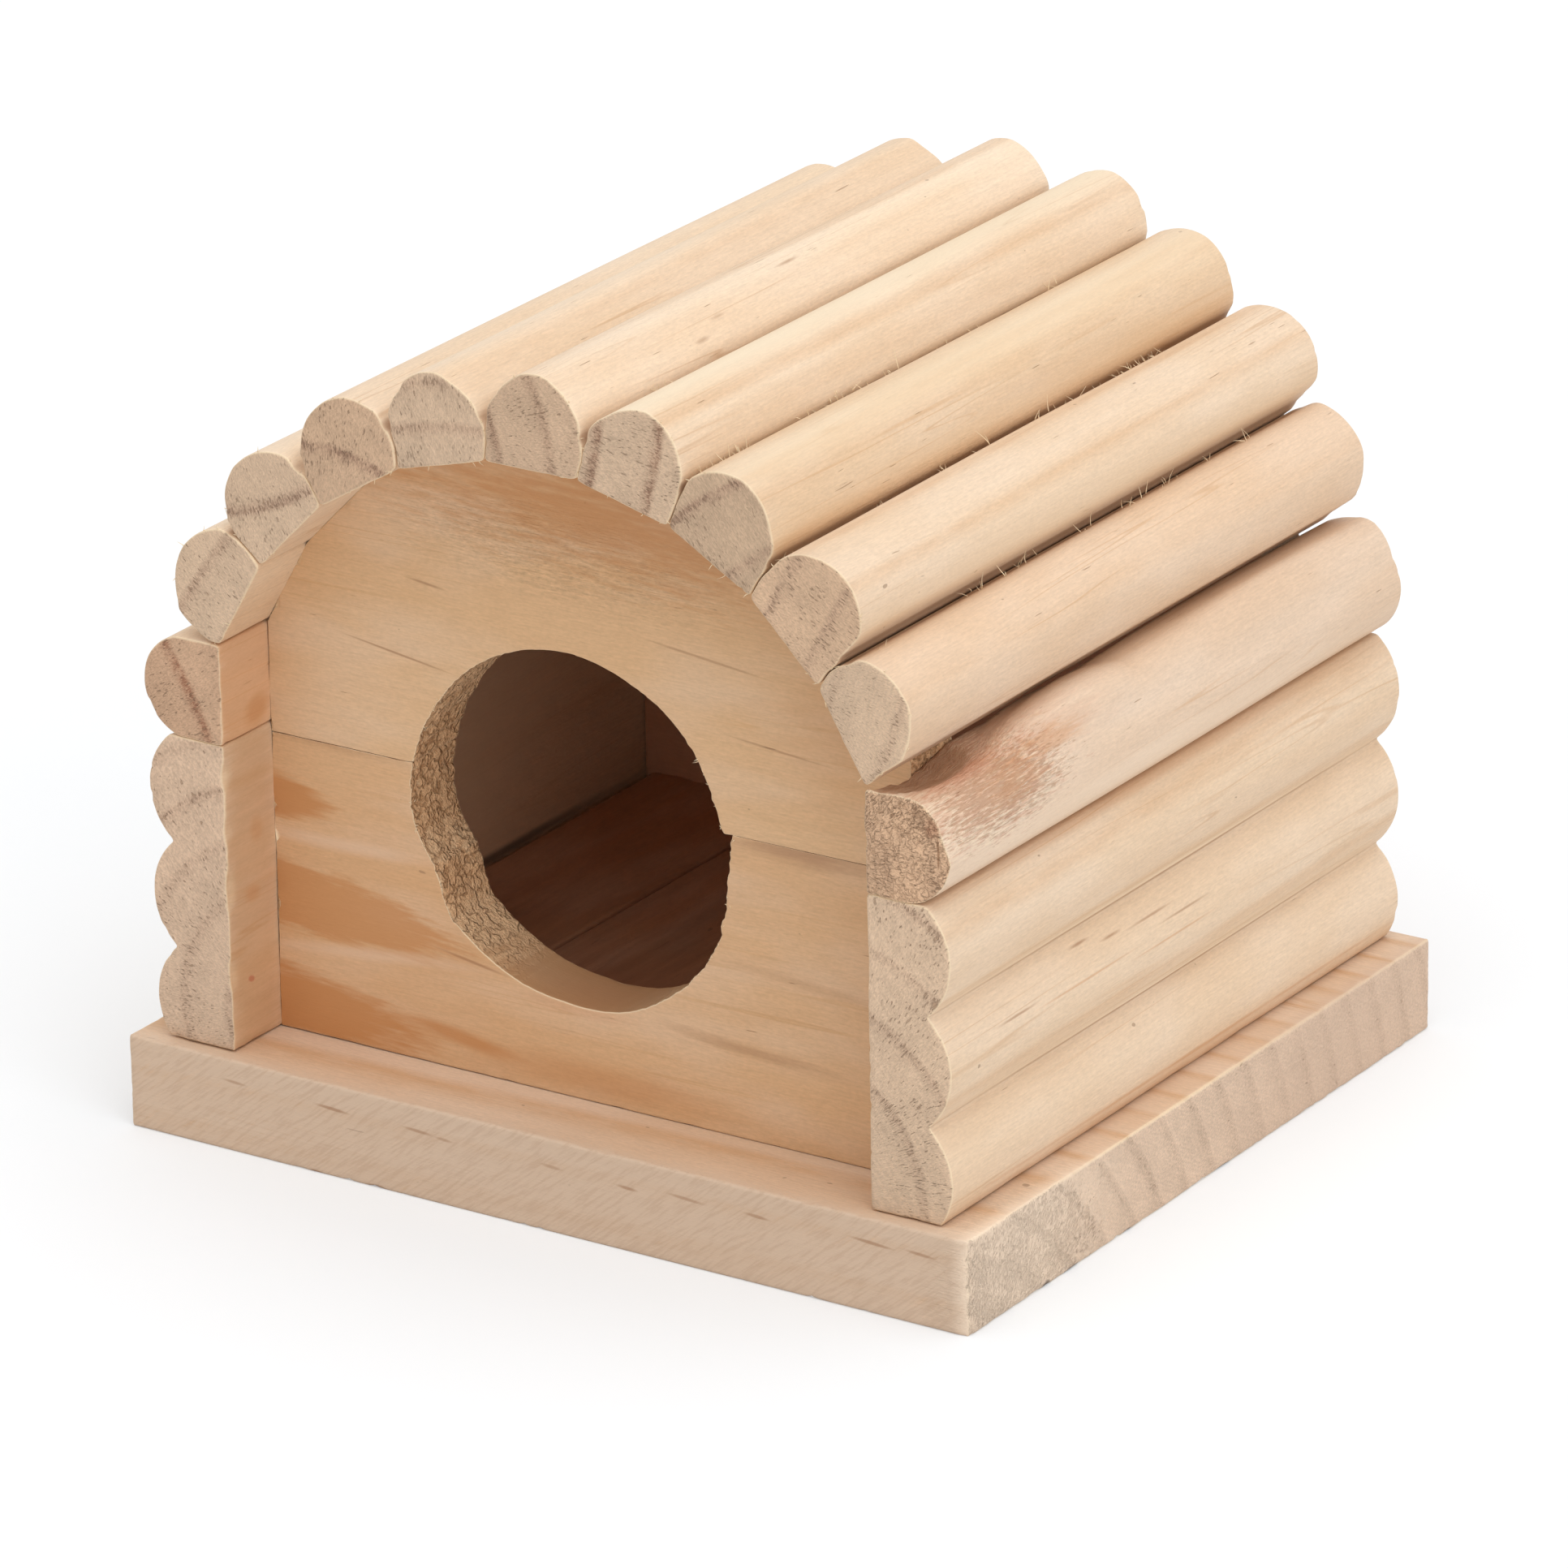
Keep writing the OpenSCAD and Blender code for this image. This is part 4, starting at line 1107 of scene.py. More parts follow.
def pine(node, base, grain, **changes):
    """Pine for one piece: its own rings, fibres, sawn ends and spots.

    `changes` takes the place of parts of the plain look. `lean` and `wander` are how the pith leans and
    the rings wander, `saw` the turn of the saw's lines, `oblique` how far a face may turn from the grain
    before it counts as sawn, the crease spots are more spots, of painted shade in the grooves between
    roof logs, and the rest are colours, strengths and depths.
    """
    wood = bpy.context.scene.cabin_wood
    look = {"lean": (0, 0.004, 0.01), "ring": 0.3, "end_ring": 0.75, "streak": 0.2, "saw": 0.9, "torn": 0.33,
            "depth": 0.17, "crumble": 0.0, "dashes": 0.6, "wander": 1.2, "end": wood.end, "late": wood.late,
            "late_end": wood.late_end, "burnt": 0.0, "oblique": 0.45, "edge": 0.45, "season": 0.16,
            "crumb_size": 1.0, "crease_shade": ()}
    look.update(changes)
    across, up, first, spacing = GROWTH[node]
    seed = 10.0 + 3.7 * list(GROWTH).index(node)
    material, t, shader = new_material(node + "_pine")
    parts = t.node("SeparateXYZ", {0: t.place()}).outputs
    order = (1, 0, 2) if grain == Y else (0, 1, 2)
    point = t.node("CombineXYZ", {i: parts[order[i]] for i in range(3)}).outputs[0]
    normal = t.node("NewGeometry").outputs["Normal"]
    cut = t.group(shared_group("Cut direction"), {
        "Normal": normal, "Grain": [float(i == grain) for i in range(3)], "From": look["oblique"],
        "To": look["oblique"] + 0.35})
    tear = TORN.get(node)
    torn = t.times(spot_mask(t, point, order, tear, seed), tear.strength) if tear else 0.0
    rings = t.group(shared_group("Growth rings"), {
        "Point": point, "Pith": (0, across, up), "Lean": look["lean"], "First": float(first),
        "Spacing": float(spacing), "Wander": look["wander"], "Seed": seed})
    fibres = t.group(shared_group("Long fibres"), {"Point": point, "Seed": seed, "Dashes": look["dashes"]})
    sawn = t.group(shared_group("Sawn end"), {
        "Point": point, "Ray": rings["Ray"], "Saw angle": look["saw"], "Torn": t.plus(torn, look["torn"]),
        "Late": rings["Late"], "Crumb size": look["crumb_size"], "Seed": seed})
    long_side = t.group(shared_group("Long skin"), {
        "Colour": full(base), "Late colour": full(look["late"]), "Ring strength": look["ring"],
        "Streak strength": look["streak"], "Torn": torn, "Late": rings["Late"], "Season": rings["Season"],
        **{title: fibres[title] for title in ("Fibre", "Streak", "Cloud", "Dash", "Speck", "Hair")}})
    end = t.group(shared_group("End skin"), {
        "Colour": full(look["end"]), "Late colour": full(look["late_end"]),
        "Ring strength": look["end_ring"], "Season gain": look["season"], "Tear depth": look["depth"],
        "Crumble": t.plus(t.times(torn, 0.35), look["crumble"], clamp=True),
        "Late": rings["Late"], "Season": rings["Season"],
        **{title: sawn[title] for title in ("Pit", "Fibre", "Saw line", "Cloud", "Crumb")}})
    tone = t.mix(cut["End"], long_side["Color"], end["Color"])
    # A painted highlight, over paler sanded wood, on the rounded edges where end grain turns into long grain
    tone = t.mix(t.times(cut["Edge"], look["edge"]), tone, full(wood.rim))
    for i, spot in enumerate((*SPOTS.get(node, ()), *look["crease_shade"])):
        mask = t.times(spot_mask(t, point, order, spot, seed + i), spot.strength)
        if not spot.ends:
            mask = t.times(mask, t.minus(1.0, cut["End"]))
        tone = t.mix(mask, tone, full(spot.tone))
    if look["burnt"]:
        face = t.group(shared_group("Cut direction"), {"Normal": normal, "Grain": (0.0, 1.0, 0.0)})
        share = t.times(t.minus(1.0, face["End"]), look["burnt"])
        share = t.times(share, t.span(cut["End"], 0.0, 1.0, 1.0, 0.2))
        tone = t.mix(share, tone, full(wood.hole))
        # A painted highlight on the entrance's front edge, over its pale torn wood
        tone = t.mix(t.times(face["Edge"], 0.7), tone, full(wood.rim))
    height = t.node("Mix", data_type="FLOAT")
    for i, value in ((0, cut["End"]), (2, long_side["Height"]), (3, end["Height"])):
        t.feed(height.inputs[i], value)
    bump = t.node("Bump", {"Height": height.outputs[0], "Strength": 1.0, "Distance": MM})
    t.feed(shader["Base Color"], tone)
    t.feed(shader["Roughness"], t.span(cut["End"], 0.0, 1.0, 0.55, 0.8))
    t.feed(shader["Normal"], bump.outputs[0])
    shader["Specular IOR Level"].default_value = 0.25
    return material


def nail_steel():
    """Dull zinc steel with darker scuffs."""
    material, t, shader = new_material("nail_steel")
    scuff = t.noise(t.place(), (2.5, 2.5, 2.5), 4.0, 4.0, 0.6)
    tone = t.mix(t.span(scuff, 0.35, 0.7), (0.62, 0.62, 0.6, 1), (0.3, 0.28, 0.26, 1))
    t.feed(shader["Base Color"], tone)
    t.feed(shader["Roughness"], t.span(scuff, 0.3, 0.7, 0.32, 0.6))
    shader["Metallic"].default_value = 1.0
    bump = t.node("Bump", {"Height": scuff, "Strength": 0.3, "Distance": 0.05 * MM})
    t.feed(shader["Normal"], bump.outputs[0])
    return material


# ---------------------------------------------------------------- pieces

FLOOR_CLEAR = 1.1  # mm between the inner floor and a wall
WALL_JOINT = 0.12  # mm: joint line below a wall board
PANEL_JOINT = 0.13  # mm: joint line below the front panel
SAWN_SHORT = 0.25  # mm that a roof log may be cut shorter at an end
NAIL_HEAD = 1.0  # mm: thickness of a nail's head
NAIL_SIDES = 32
FIBRE_THICK = 0.075  # mm: half the thickness of a loose fibre at its root
FIBRE_RINGS = 5  # rings of three points along a loose fibre


def build_wood(node, material, shaped=None, axis=Y, grain=Y, edge=None, widest=0.45, focus=None,
               row_step=4.0, cap_step=0.55, tear=None, shrink=0.0, sawn_short=0.0, rounds=4, pits=(),
               worn=None):
    """One wooden piece from the outline of its CAD node, with all its lengths in mm.

    The outline lies across `axis`. `widest`, `row_step` and `cap_step` are the widest spacings of the
    mesh round the outline, along the piece and on its two ends. `shrink` draws the outline in, and
    `sawn_short` is the most that an end is cut short by.
    """
    shape = bpy.context.scene.cabin_shape
    seed = shape.seed + 31 * list(GROWTH).index(node)
    luck = np.random.default_rng(seed)
    loop = end_loops(node, axis)[0]
    path, gap = walk(loop, WALK_STEP)
    path = soften(path, rounds)
    if shaped is not None:
        path = shaped(path, loop)
    apart = np.linalg.norm(path - np.roll(path, 1, 0), axis=1) > LEAST_STEP
    path, gap = path[apart], gap[apart]
    uneven = 1 + swell(np.insert(path, axis, 0.0, 1), 2.5, seed)
    if shrink > 0:
        path = path - outward(path) * shrink * unfolded(path, outward(path), shrink, uneven[:, None])
    path, gap = thinned(path, gap, widest, focus)
    low, high = (corner[axis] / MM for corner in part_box(node))
    edge = shape.edge / MM if edge is None else edge
    short = luck.uniform(0, 1, 2) * sawn_short
    levels = spaced(low + short[0], high - short[1], edge, row_step, row_step > 1)
    share = 1.0 if worn is None else worn(path)[:, None]
    points, faces, gap = sawn_solid(path, gap, levels, axis, edge, share, cap_step, pits, luck)
    piece = add_mesh(node + "_wood", points, faces)
    tear = shape.end_rough / MM if tear is None else tear
    roughen(piece, gap, grain, shape, seed, edge, tear, DENTS.get(node, ()))
    return finish_piece(piece, node, material)


class CABIN_OT_base(Operator):
    """Builds the base board, with the sunk places for the nail heads"""

    bl_idname = "cabin.base"
    bl_label = "Base board"

    def execute(self, context):
        wood = context.scene.cabin_wood
        sunk = end_loops("base_board", Z)[1:]
        if len(sunk) != len(end_loops("base_nails", Z)):
            raise RuntimeError("the base board and its nails don't match")
        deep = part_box("base_nails")[0].z / MM + NAIL_HEAD
        pits = [(loop.mean(0), np.linalg.norm(loop - loop.mean(0), axis=1).mean(), deep) for loop in sunk]
        material = pine("base_board", wood.base, X, ring=0.62, end_ring=0.32, season=0.7, saw=0.5, torn=0.0,
                        streak=0.08, dashes=0.3, wander=0.8, end=(0.76, 0.57, 0.425),
                        late_end=(0.47, 0.33, 0.235))
        build_wood("base_board", material, axis=Z, grain=X, edge=0.45, widest=0.55, row_step=0.6,
                   cap_step=2.4, pits=pits)
        return {"FINISHED"}


class CABIN_OT_floor(Operator):
    """Builds the two boards of the inner floor"""

    bl_idname = "cabin.floor"
    bl_label = "Inner floor"

    def execute(self, context):
        wood = context.scene.cabin_wood
        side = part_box("floor_board_right")[1].x / MM
        # The outer edges of the two boards are drawn in, clear of the walls beside them
        near, fitted = side - 5, side - FLOOR_CLEAR
        drawn_in = (-side, -near, near, side), (-fitted, -near, near, fitted)
        for node in ("floor_board_left", "floor_board_right"):
            material = pine(node, wood.floor, Y, end=wood.floor, late=(0.30, 0.14, 0.06))
            build_wood(node, material, widest=0.6, cap_step=1.5, shrink=0.25, edge=0.2,
                       rounds=10, shaped=lambda path, loop: np.column_stack(
                           [np.interp(path[:, 0], *drawn_in), path[:, 1]]))
        return {"FINISHED"}


class CABIN_OT_walls(Operator):
    """Builds the two milled wall boards and the logs on top of them"""

    bl_idname = "cabin.walls"
    bl_label = "Walls"

    def execute(self, context):
        wood, shape = context.scene.cabin_wood, context.scene.cabin_shape
        board = {"ring": 0.3, "streak": 0.14, "dashes": 0.35, "end_ring": 0.5}
        for node, end in (("wall_board_left", (0.74, 0.53, 0.375)),
                          ("wall_board_right", (0.82, 0.60, 0.42))):
            build_wood(node, pine(node, wood.wall, Y, end=end, **board), cap_step=0.6, rounds=2,
                       shaped=lambda path, loop: raised(path, WALL_JOINT))
        red = {"late_end": (0.40, 0.19, 0.11), "end_ring": 0.9, "end": (0.68, 0.44, 0.285), "wander": 0.6}
        build_wood("wall_log_left", pine("wall_log_left", wood.log, Y, **red))
        rough = {"crumble": 0.6, "torn": 0.5, "end": (0.88, 0.60, 0.40), "end_ring": 0.3, "depth": 0.16,
                 "crumb_size": 0.6}
        darker = tinted(wood.log, (0.86, 0.835, 0.86))
        build_wood("wall_log_right", pine("wall_log_right", darker, Y, **rough), cap_step=0.45,
                   row_step=1.4, tear=shape.hole_rough / MM)
        return {"FINISHED"}


class CABIN_OT_roof(Operator):
    """Builds the arch of roof logs, each shaped a little differently"""

    bl_idname = "cabin.roof"
    bl_label = "Roof logs"

    def execute(self, context):
        wood = context.scene.cabin_wood
        # A joint leans from the middle of a log beside it by half the angle between two logs
        ups = [resting_face(end_loops(node, Y)[0])[1] for node in LOGS]
        lean = math.acos(float(ups[0] @ ups[1])) / 2
        shifts = (None, *JOINT_SHIFTS, None)
        looks = {
            "arch_log_3": ((1.0, 1.0, 1.0), {"end": (0.71, 0.485, 0.32), "late_end": (0.42, 0.25, 0.17)}),
            "arch_log_5": ((1.03, 1.05, 1.08), {"streak": 0.36, "end": (0.72, 0.505, 0.342),
                                                "late_end": (0.40, 0.24, 0.16)}),
            "arch_log_6": ((1.0, 1.02, 1.04), {"streak": 0.34, "late_end": (0.40, 0.23, 0.15),
                                               "end_ring": 0.85}),
            "arch_log_7": ((0.92, 0.90, 0.86), {"streak": 0.46, "ring": 0.4, "end": (0.66, 0.47, 0.316)}),
            "arch_log_8": ((0.95, 0.94, 0.94), {"streak": 0.22, "end_ring": 0.5, "end": (0.75, 0.515, 0.34)}),
            "arch_log_9": ((0.87, 0.80, 0.76), {"streak": 0.05, "ring": 0.15, "end_ring": 0.3, "saw": 1.9,
                                                "end": (0.77, 0.56, 0.388)}),
        }
        for i, node in enumerate(LOGS):
            bumps, sides = LOG_SHAPES[node], shifts[i:i + 2]
            tint, changes = looks.get(node, ((1.0, 1.0, 1.0), {}))
            # Painted shade along the grooves between the logs
            changes = {**changes, "crease_shade": crease_shade(end_loops(node, Y)[0], sides, lean)}
            material = pine(node, tinted(wood.log, tint), Y, **changes)
            build_wood(node, material, sawn_short=SAWN_SHORT,
                       shaped=lambda path, loop: joined(hand_shaped(path, loop, bumps), loop, sides, lean))
        return {"FINISHED"}


class CABIN_OT_front(Operator):
    """Builds the front panel with its rough round entrance"""

    bl_idname = "cabin.front"
    bl_label = "Front panel"

    def execute(self, context):
        wood, shape = context.scene.cabin_wood, context.scene.cabin_shape
        centre, radius = entrance()

        def on_rim(path):
            """Which points of an outline lie on the entrance's rim."""
            return np.abs(np.linalg.norm(path - centre, axis=1) - radius) < 1.5

        for node, rgb, foot in (("front_panel_lower", wood.panel_lower, PANEL_JOINT),
                                ("front_panel_upper", wood.panel_upper, 0.0)):
            material = pine(node, rgb, X, streak=0.2, ring=0.12, crumble=1.0, burnt=0.7, depth=0.16,
                            end=(0.84, 0.56, 0.33), late_end=(0.5, 0.3, 0.17), end_ring=0.4, dashes=0.4,
                            oblique=0.3, edge=0.2, torn=0.0, crumb_size=1.25)
            build_wood(node, material, shaped=lambda path, loop: raised(hole_sawn(path), foot),
                       grain=X, edge=0.13, worn=lambda path: np.where(on_rim(path), 1.0, 0.25), rounds=1,
                       widest=1.6, focus=(centre, radius + 1.5, 0.3), row_step=0.4, cap_step=1.7,
                       tear=shape.hole_rough / MM, shrink=shape.joint / MM * 0.4)
        return {"FINISHED"}


class CABIN_OT_back(Operator):
    """Builds the back panel"""

    bl_idname = "cabin.back"
    bl_label = "Back panel"

    def execute(self, context):
        wood, shape = context.scene.cabin_wood, context.scene.cabin_shape
        for node, rgb in (("back_panel_lower", wood.panel_lower), ("back_panel_upper", wood.panel_upper)):
            build_wood(node, pine(node, rgb, X), grain=X, widest=1.6, cap_step=1.7,
                       shrink=shape.joint / MM)
        return {"FINISHED"}


def nail_outline(low, high, head):
    """Radius and height of a nail's outline in mm, from the middle of its head up to its tip."""
    shank = head * 0.44
    return [(0.0, low + 0.12), (head * 0.35, low + 0.04), (head * 0.42, low + 0.12),
            (head * 0.62, low + 0.12), (head * 0.69, low + 0.02), (head * 0.9, low + 0.06),
            (head, low + 0.25), (head, low + 0.7), (head * 0.94, low + 0.9),
            (shank * 1.25, low + NAIL_HEAD), (shank, low + 1.5), (shank, high - 3.0),
            (shank * 0.8, high - 2.2), (0.0, high)]


class CABIN_OT_nails(Operator):
    """Builds the nails that hold the walls and panels to the base"""

    bl_idname = "cabin.nails"
    bl_label = "Nails"

    def execute(self, context):
        low, high = (corner.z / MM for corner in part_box("base_nails"))
        heads = end_loops("base_nails", Z)
        radius = np.linalg.norm(heads[0] - heads[0].mean(0), axis=1).mean()
        outline = nail_outline(low, high, radius)
        rings = len(outline) - 2
        turn = np.linspace(0, 2 * math.pi, NAIL_SIDES, endpoint=False)
        points, faces = [], []
        for loop in heads:
            x, y = loop.mean(0)
            first = len(points) + 1
            points.append((x, y, outline[0][1]))
            for r, z in outline[1:-1]:
                points += [(x + r * math.cos(a), y + r * math.sin(a), z) for a in turn]
            points.append((x, y, outline[-1][1]))
            last, tip = first + (rings - 1) * NAIL_SIDES, first + rings * NAIL_SIDES
            for i in range(NAIL_SIDES):
                j = (i + 1) % NAIL_SIDES
                faces.append((first - 1, first + j, first + i))
                for a in range(first, last, NAIL_SIDES):
                    b = a + NAIL_SIDES
                    faces.append((a + i, a + j, b + j, b + i))
                faces.append((tip, last + i, last + j))
        piece = add_mesh("nails", np.array(points), faces)
        finish_piece(piece, "base_nails", nail_steel())
        return {"FINISHED"}


class Fibres:
    """Gathers loose fibres: thin bent threads that taper to their tips."""

    def __init__(self, luck, longest):
        self.luck, self.longest = luck, longest
        self.points, self.faces = [], []

    def add(self, root, normal, lift, spread, reach, lean=0.0):
        """Adds a fibre that stands off the wood by `lift`, bent aside by up to about `spread`.

        `reach` is the least and most of the longest fibre's length that it may have.
        """
        heading = normal * lift + self.luck.normal(0, spread, 3) + lean
        reach = self.longest * self.luck.uniform(*reach)
        heading = heading / np.linalg.norm(heading)
        bend = self.luck.normal(0, 0.5, 3)
        side = np.cross(heading, (0.3, 0.5, 0.8))
        side /= np.linalg.norm(side)
        other = np.cross(heading, side)
        start = len(self.points)
        for ring in range(FIBRE_RINGS):
            share = ring / (FIBRE_RINGS - 1)
            middle = root + reach * (share * heading + share * share * bend * 0.6)
            thick = FIBRE_THICK * (1 - 0.75 * share)
            for k in range(3):
                a = 2 * math.pi * k / 3
                self.points.append(middle + thick * (math.cos(a) * side + math.sin(a) * other))
        tip = start + 3 * (FIBRE_RINGS - 1)
        for ring in range(start, tip, 3):
            for k in range(3):
                a, b = ring + k, ring + (k + 1) % 3
                self.faces.append((a, b, b + 3, a + 3))
        self.faces += [(start, start + 2, start + 1), (tip, tip + 1, tip + 2)]

    def beside_log(self, node, tufts, back):
        """Tufts in the groove to the left of a roof log, from its front up to y = `back`."""
        places, normals = skin(bpy.data.objects[node + "_wood"].data)
        foot, up, right, _ = log_frame(end_loops(node, Y)[0])
        height = (places[:, [0, 2]] - foot) @ up
        flank = (normals[:, [0, 2]] @ right < -0.7) & (height > 5.0) & (height < 7.6)
        ready = np.flatnonzero(flank & (places[:, 1] > -48) & (places[:, 1] < back))
        for tuft in self.luck.choice(ready, tufts):
            for _ in range(self.luck.integers(2, 6)):
                root = places[tuft] + self.luck.normal(0, (0.3, 1.2, 0.2))
                self.add(root, normals[tuft], 0.8, 0.5, (0.4, 1.1))

    def round_end(self, node, count):
        """Short fibres round the edge of a roof log's front end."""
        places, normals = skin(bpy.data.objects[node + "_wood"].data)
        rim = (places[:, 1] < places[:, 1].min() + 0.5) & (np.abs(normals[:, 1]) < 0.75)
        for root in self.luck.choice(np.flatnonzero(rim), count):
            self.add(places[root], normals[root], 0.6, 0.5, (0.2, 0.5), np.array([0, -0.4, 0]))

    def in_entrance(self, node, count):
        """Very short fibres on the left and right of the entrance's front edge."""
        centre, radius = entrance()
        places, normals = skin(bpy.data.objects[node + "_wood"].data)
        arm = places[:, [0, 2]] - centre
        rim = (np.abs(np.linalg.norm(arm, axis=1) - radius) < 1.2) & (np.abs(arm[:, 0]) > radius * 0.75)
        rim &= places[:, 1] < places[:, 1].min() + 0.8
        for root in self.luck.choice(np.flatnonzero(rim), count):
            self.add(places[root], normals[root], 0.8, 0.4, (0.08, 0.26))


class CABIN_OT_fibres(Operator):
    """Adds the loose fibres along the roof's joints, its sawn ends and the entrance"""

    bl_idname = "cabin.fibres"
    bl_label = "Loose fibres"

    def execute(self, context):
        shape = context.scene.cabin_shape
        fibres = Fibres(np.random.default_rng(shape.seed), shape.fibre / MM)
        for node, tufts, back in (("arch_log_6", 4, 48), ("arch_log_7", 12, 48), ("arch_log_7", 14, -16),
                                  ("arch_log_8", 14, 48), ("arch_log_9", 12, 48)):
            fibres.beside_log(node, tufts, back)
        for node in LOGS:
            fibres.round_end(node, 7)
        for node in ("front_panel_upper", "front_panel_lower"):
            fibres.in_entrance(node, 30)
        piece = add_mesh("loose_fibres", np.array(fibres.points), fibres.faces)
        material, _, shader = new_material("loose_fibres")
        shader["Base Color"].default_value = full(context.scene.cabin_wood.rim)
        shader["Roughness"].default_value = 0.7
        piece.data.materials.append(material)
        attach(piece, BODY)
        return {"FINISHED"}


# ---------------------------------------------------------------- stage

AIM = (0, 0, 0.054)  # m: the middle of the cabin, which the camera looks at
SHIFT = (0.00326, -0.0765)  # right and up, in frame widths, to frame the cabin as the photo does
FLOOR_HALF = 4.0  # m from the middle of the floor to its sides
FLOOR_GAP = 0.5 * MM  # how far the opening in the floor stays in from the base board's sides
SENSOR = 36  # mm wide
FARTHEST = 20  # m that the camera sees
BACKDROP = (0.935, 0.955, 0.975, 1)  # colour of the floor as it is seen


def floor_material(pale, glow):
    """A white floor that keeps the shadow and is seen only from above."""
    material = bpy.data.materials.new("studio_floor")
    material.use_nodes = True
    tree = material.node_tree
    tree.nodes.clear()
    t = Tree(tree)
    camera = t.node("LightPath").outputs["Is Camera Ray"]
    tone = t.mix(camera, (pale, pale, pale, 1), BACKDROP)
    matt = t.node("BsdfDiffuse", {"Color": tone}).outputs[0]
    white = t.node("Emission", {"Color": (1, 1, 1, 1), "Strength": 1.0}).outputs[0]
    share = t.times(camera, glow)
    seen = t.node("MixShader", {0: share, 1: matt, 2: white}).outputs[0]
    clear = t.node("BsdfTransparent").outputs[0]
    below = t.node("NewGeometry").outputs["Backfacing"]
    both = t.node("MixShader", {0: below, 1: seen, 2: clear}).outputs[0]
    t.feed(t.node("OutputMaterial").inputs["Surface"], both)
    return material


def studio_world(strength):
    """Even light from all round; the camera and mirrors see white."""
    world = bpy.data.worlds.new("studio")
    world.use_nodes = True
    tree = world.node_tree
    tree.nodes.clear()
    t = Tree(tree)
    path = t.node("LightPath").outputs
    seen = t.plus(path["Is Camera Ray"], path["Is Glossy Ray"], clamp=True)
    seen = t.plus(seen, path["Is Transmission Ray"], clamp=True)
    level = t.span(seen, 0.0, 1.0, strength, 1.0)
    glow = t.node("Background", {"Color": (1, 1, 1, 1), "Strength": level}).outputs[0]
    t.feed(t.node("OutputWorld").inputs["Surface"], glow)
    return world


def studio_floor(stage):
    """A flat floor, open under the base board, so that the underside is lit in views from below."""
    low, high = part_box("base_board")
    left, right, near, far = low.x + FLOOR_GAP, high.x - FLOOR_GAP, low.y + FLOOR_GAP, high.y - FLOOR_GAP
    half = FLOOR_HALF
    corners = [(-half, -half, 0), (half, -half, 0), (half, half, 0), (-half, half, 0),
               (left, near, 0), (right, near, 0), (right, far, 0), (left, far, 0)]
    mesh = bpy.data.meshes.new("studio_floor")
    mesh.from_pydata(corners, [], [(i, (i + 1) % 4, 4 + (i + 1) % 4, 4 + i) for i in range(4)])
    mesh.materials.append(floor_material(stage.floor, stage.glow))
    return bpy.data.objects.new("studio_floor", mesh)


def soft_lamp(title, strength, spread, towards):
    """A sun that shines from a direction, spread over an angle in degrees."""
    sun = bpy.data.lights.new(title, "SUN")
    sun.energy = strength
    sun.angle = math.radians(spread)
    lamp = bpy.data.objects.new(title, sun)
    lamp.rotation_euler = Vector(towards).to_track_quat("Z", "Y").to_euler()
    return lamp


def photo_camera(stage):
    """A camera that sees the cabin from where the photo was taken."""
    flat = math.cos(stage.height)
    back = Vector((math.sin(stage.turn) * flat, -math.cos(stage.turn) * flat, math.sin(stage.height)))
    right = (-back).cross(Vector((0, 0, 1))).normalized()
    up = right.cross(-back)
    side = right * math.cos(stage.roll) + up * math.sin(stage.roll)
    top = up * math.cos(stage.roll) - right * math.sin(stage.roll)
    view = Matrix((side, top, back)).transposed().to_4x4()
    view.translation = Vector(AIM) + back * stage.distance
    lens = bpy.data.cameras.new("camera")
    lens.lens = stage.lens
    lens.sensor_width = SENSOR
    lens.shift_x, lens.shift_y = SHIFT
    lens.clip_end = FARTHEST
    camera = bpy.data.objects.new("camera", lens)
    camera.matrix_world = view
    return camera


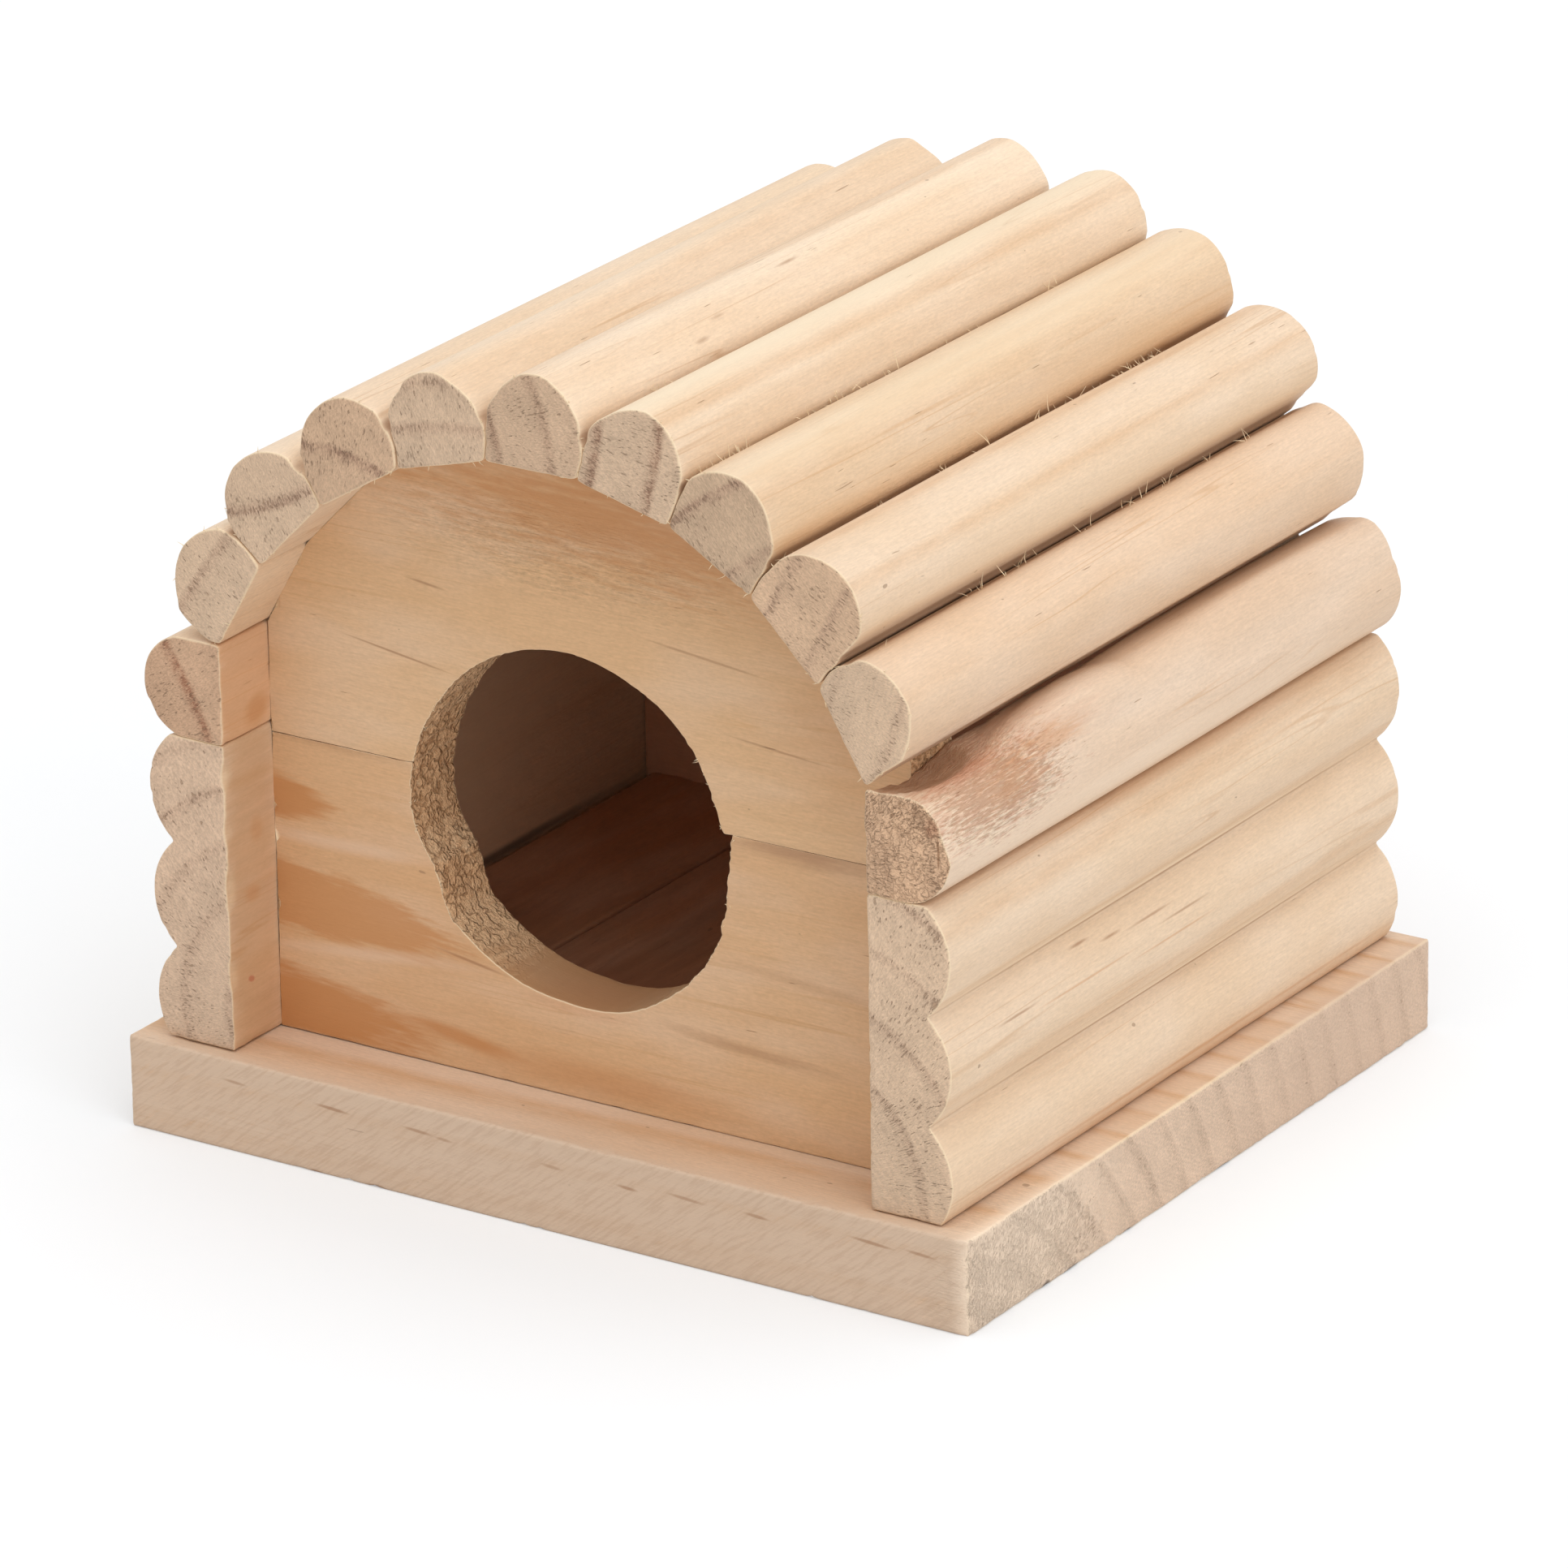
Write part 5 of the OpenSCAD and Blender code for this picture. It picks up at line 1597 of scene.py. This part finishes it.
class CABIN_OT_stage(Operator):
    """Builds the floor, the lamps, the even light and the camera"""

    bl_idname = "cabin.stage"
    bl_label = "Stage"

    def execute(self, context):
        scene, stage = context.scene, context.scene.cabin_stage
        floor, camera = studio_floor(stage), photo_camera(stage)
        for made in (floor, soft_lamp("top_lamp", stage.lamp, 70, (0.15, -0.1, 1.0)),
                     soft_lamp("side_lamp", stage.side_lamp, 60, (1.0, -0.3, 0.3)), camera):
            scene.collection.objects.link(made)
        scene.world = studio_world(stage.sky)
        scene.camera = camera
        scene.view_settings.view_transform = "Standard"
        return {"FINISHED"}


class CABIN_PT_sidebar(Panel):
    """Lists the steps that build the cabin"""

    bl_idname = "CABIN_PT_sidebar"
    bl_label = "Log cabin"
    bl_space_type = "VIEW_3D"
    bl_region_type = "UI"
    bl_category = "Cabin"

    def draw(self, context):
        for step in STEPS:
            self.layout.operator(step.bl_idname)
        for group in (context.scene.cabin_wood, context.scene.cabin_shape, context.scene.cabin_stage):
            box = self.layout.box()
            for title in group.__annotations__:
                box.prop(group, title)


STEPS = (CABIN_OT_stage, CABIN_OT_base, CABIN_OT_floor, CABIN_OT_walls, CABIN_OT_roof, CABIN_OT_front,
         CABIN_OT_back, CABIN_OT_nails, CABIN_OT_fibres)
SETTINGS = {"cabin_wood": CabinWood, "cabin_shape": CabinShape, "cabin_stage": CabinStage}


def register():
    """Adds the settings, the steps and the panel."""
    for kind in (*SETTINGS.values(), *STEPS, CABIN_PT_sidebar):
        bpy.utils.register_class(kind)
    for name, kind in SETTINGS.items():
        setattr(bpy.types.Scene, name, PointerProperty(type=kind))


def unregister():
    """Takes the panel, the steps and the settings away again."""
    for name in SETTINGS:
        delattr(bpy.types.Scene, name)
    for kind in reversed((*SETTINGS.values(), *STEPS, CABIN_PT_sidebar)):
        bpy.utils.unregister_class(kind)


def main():
    """Builds the whole cabin."""
    register()
    for step in STEPS:
        getattr(bpy.ops.cabin, step.bl_idname.split(".")[1])()


if __name__ == "__main__":
    main()
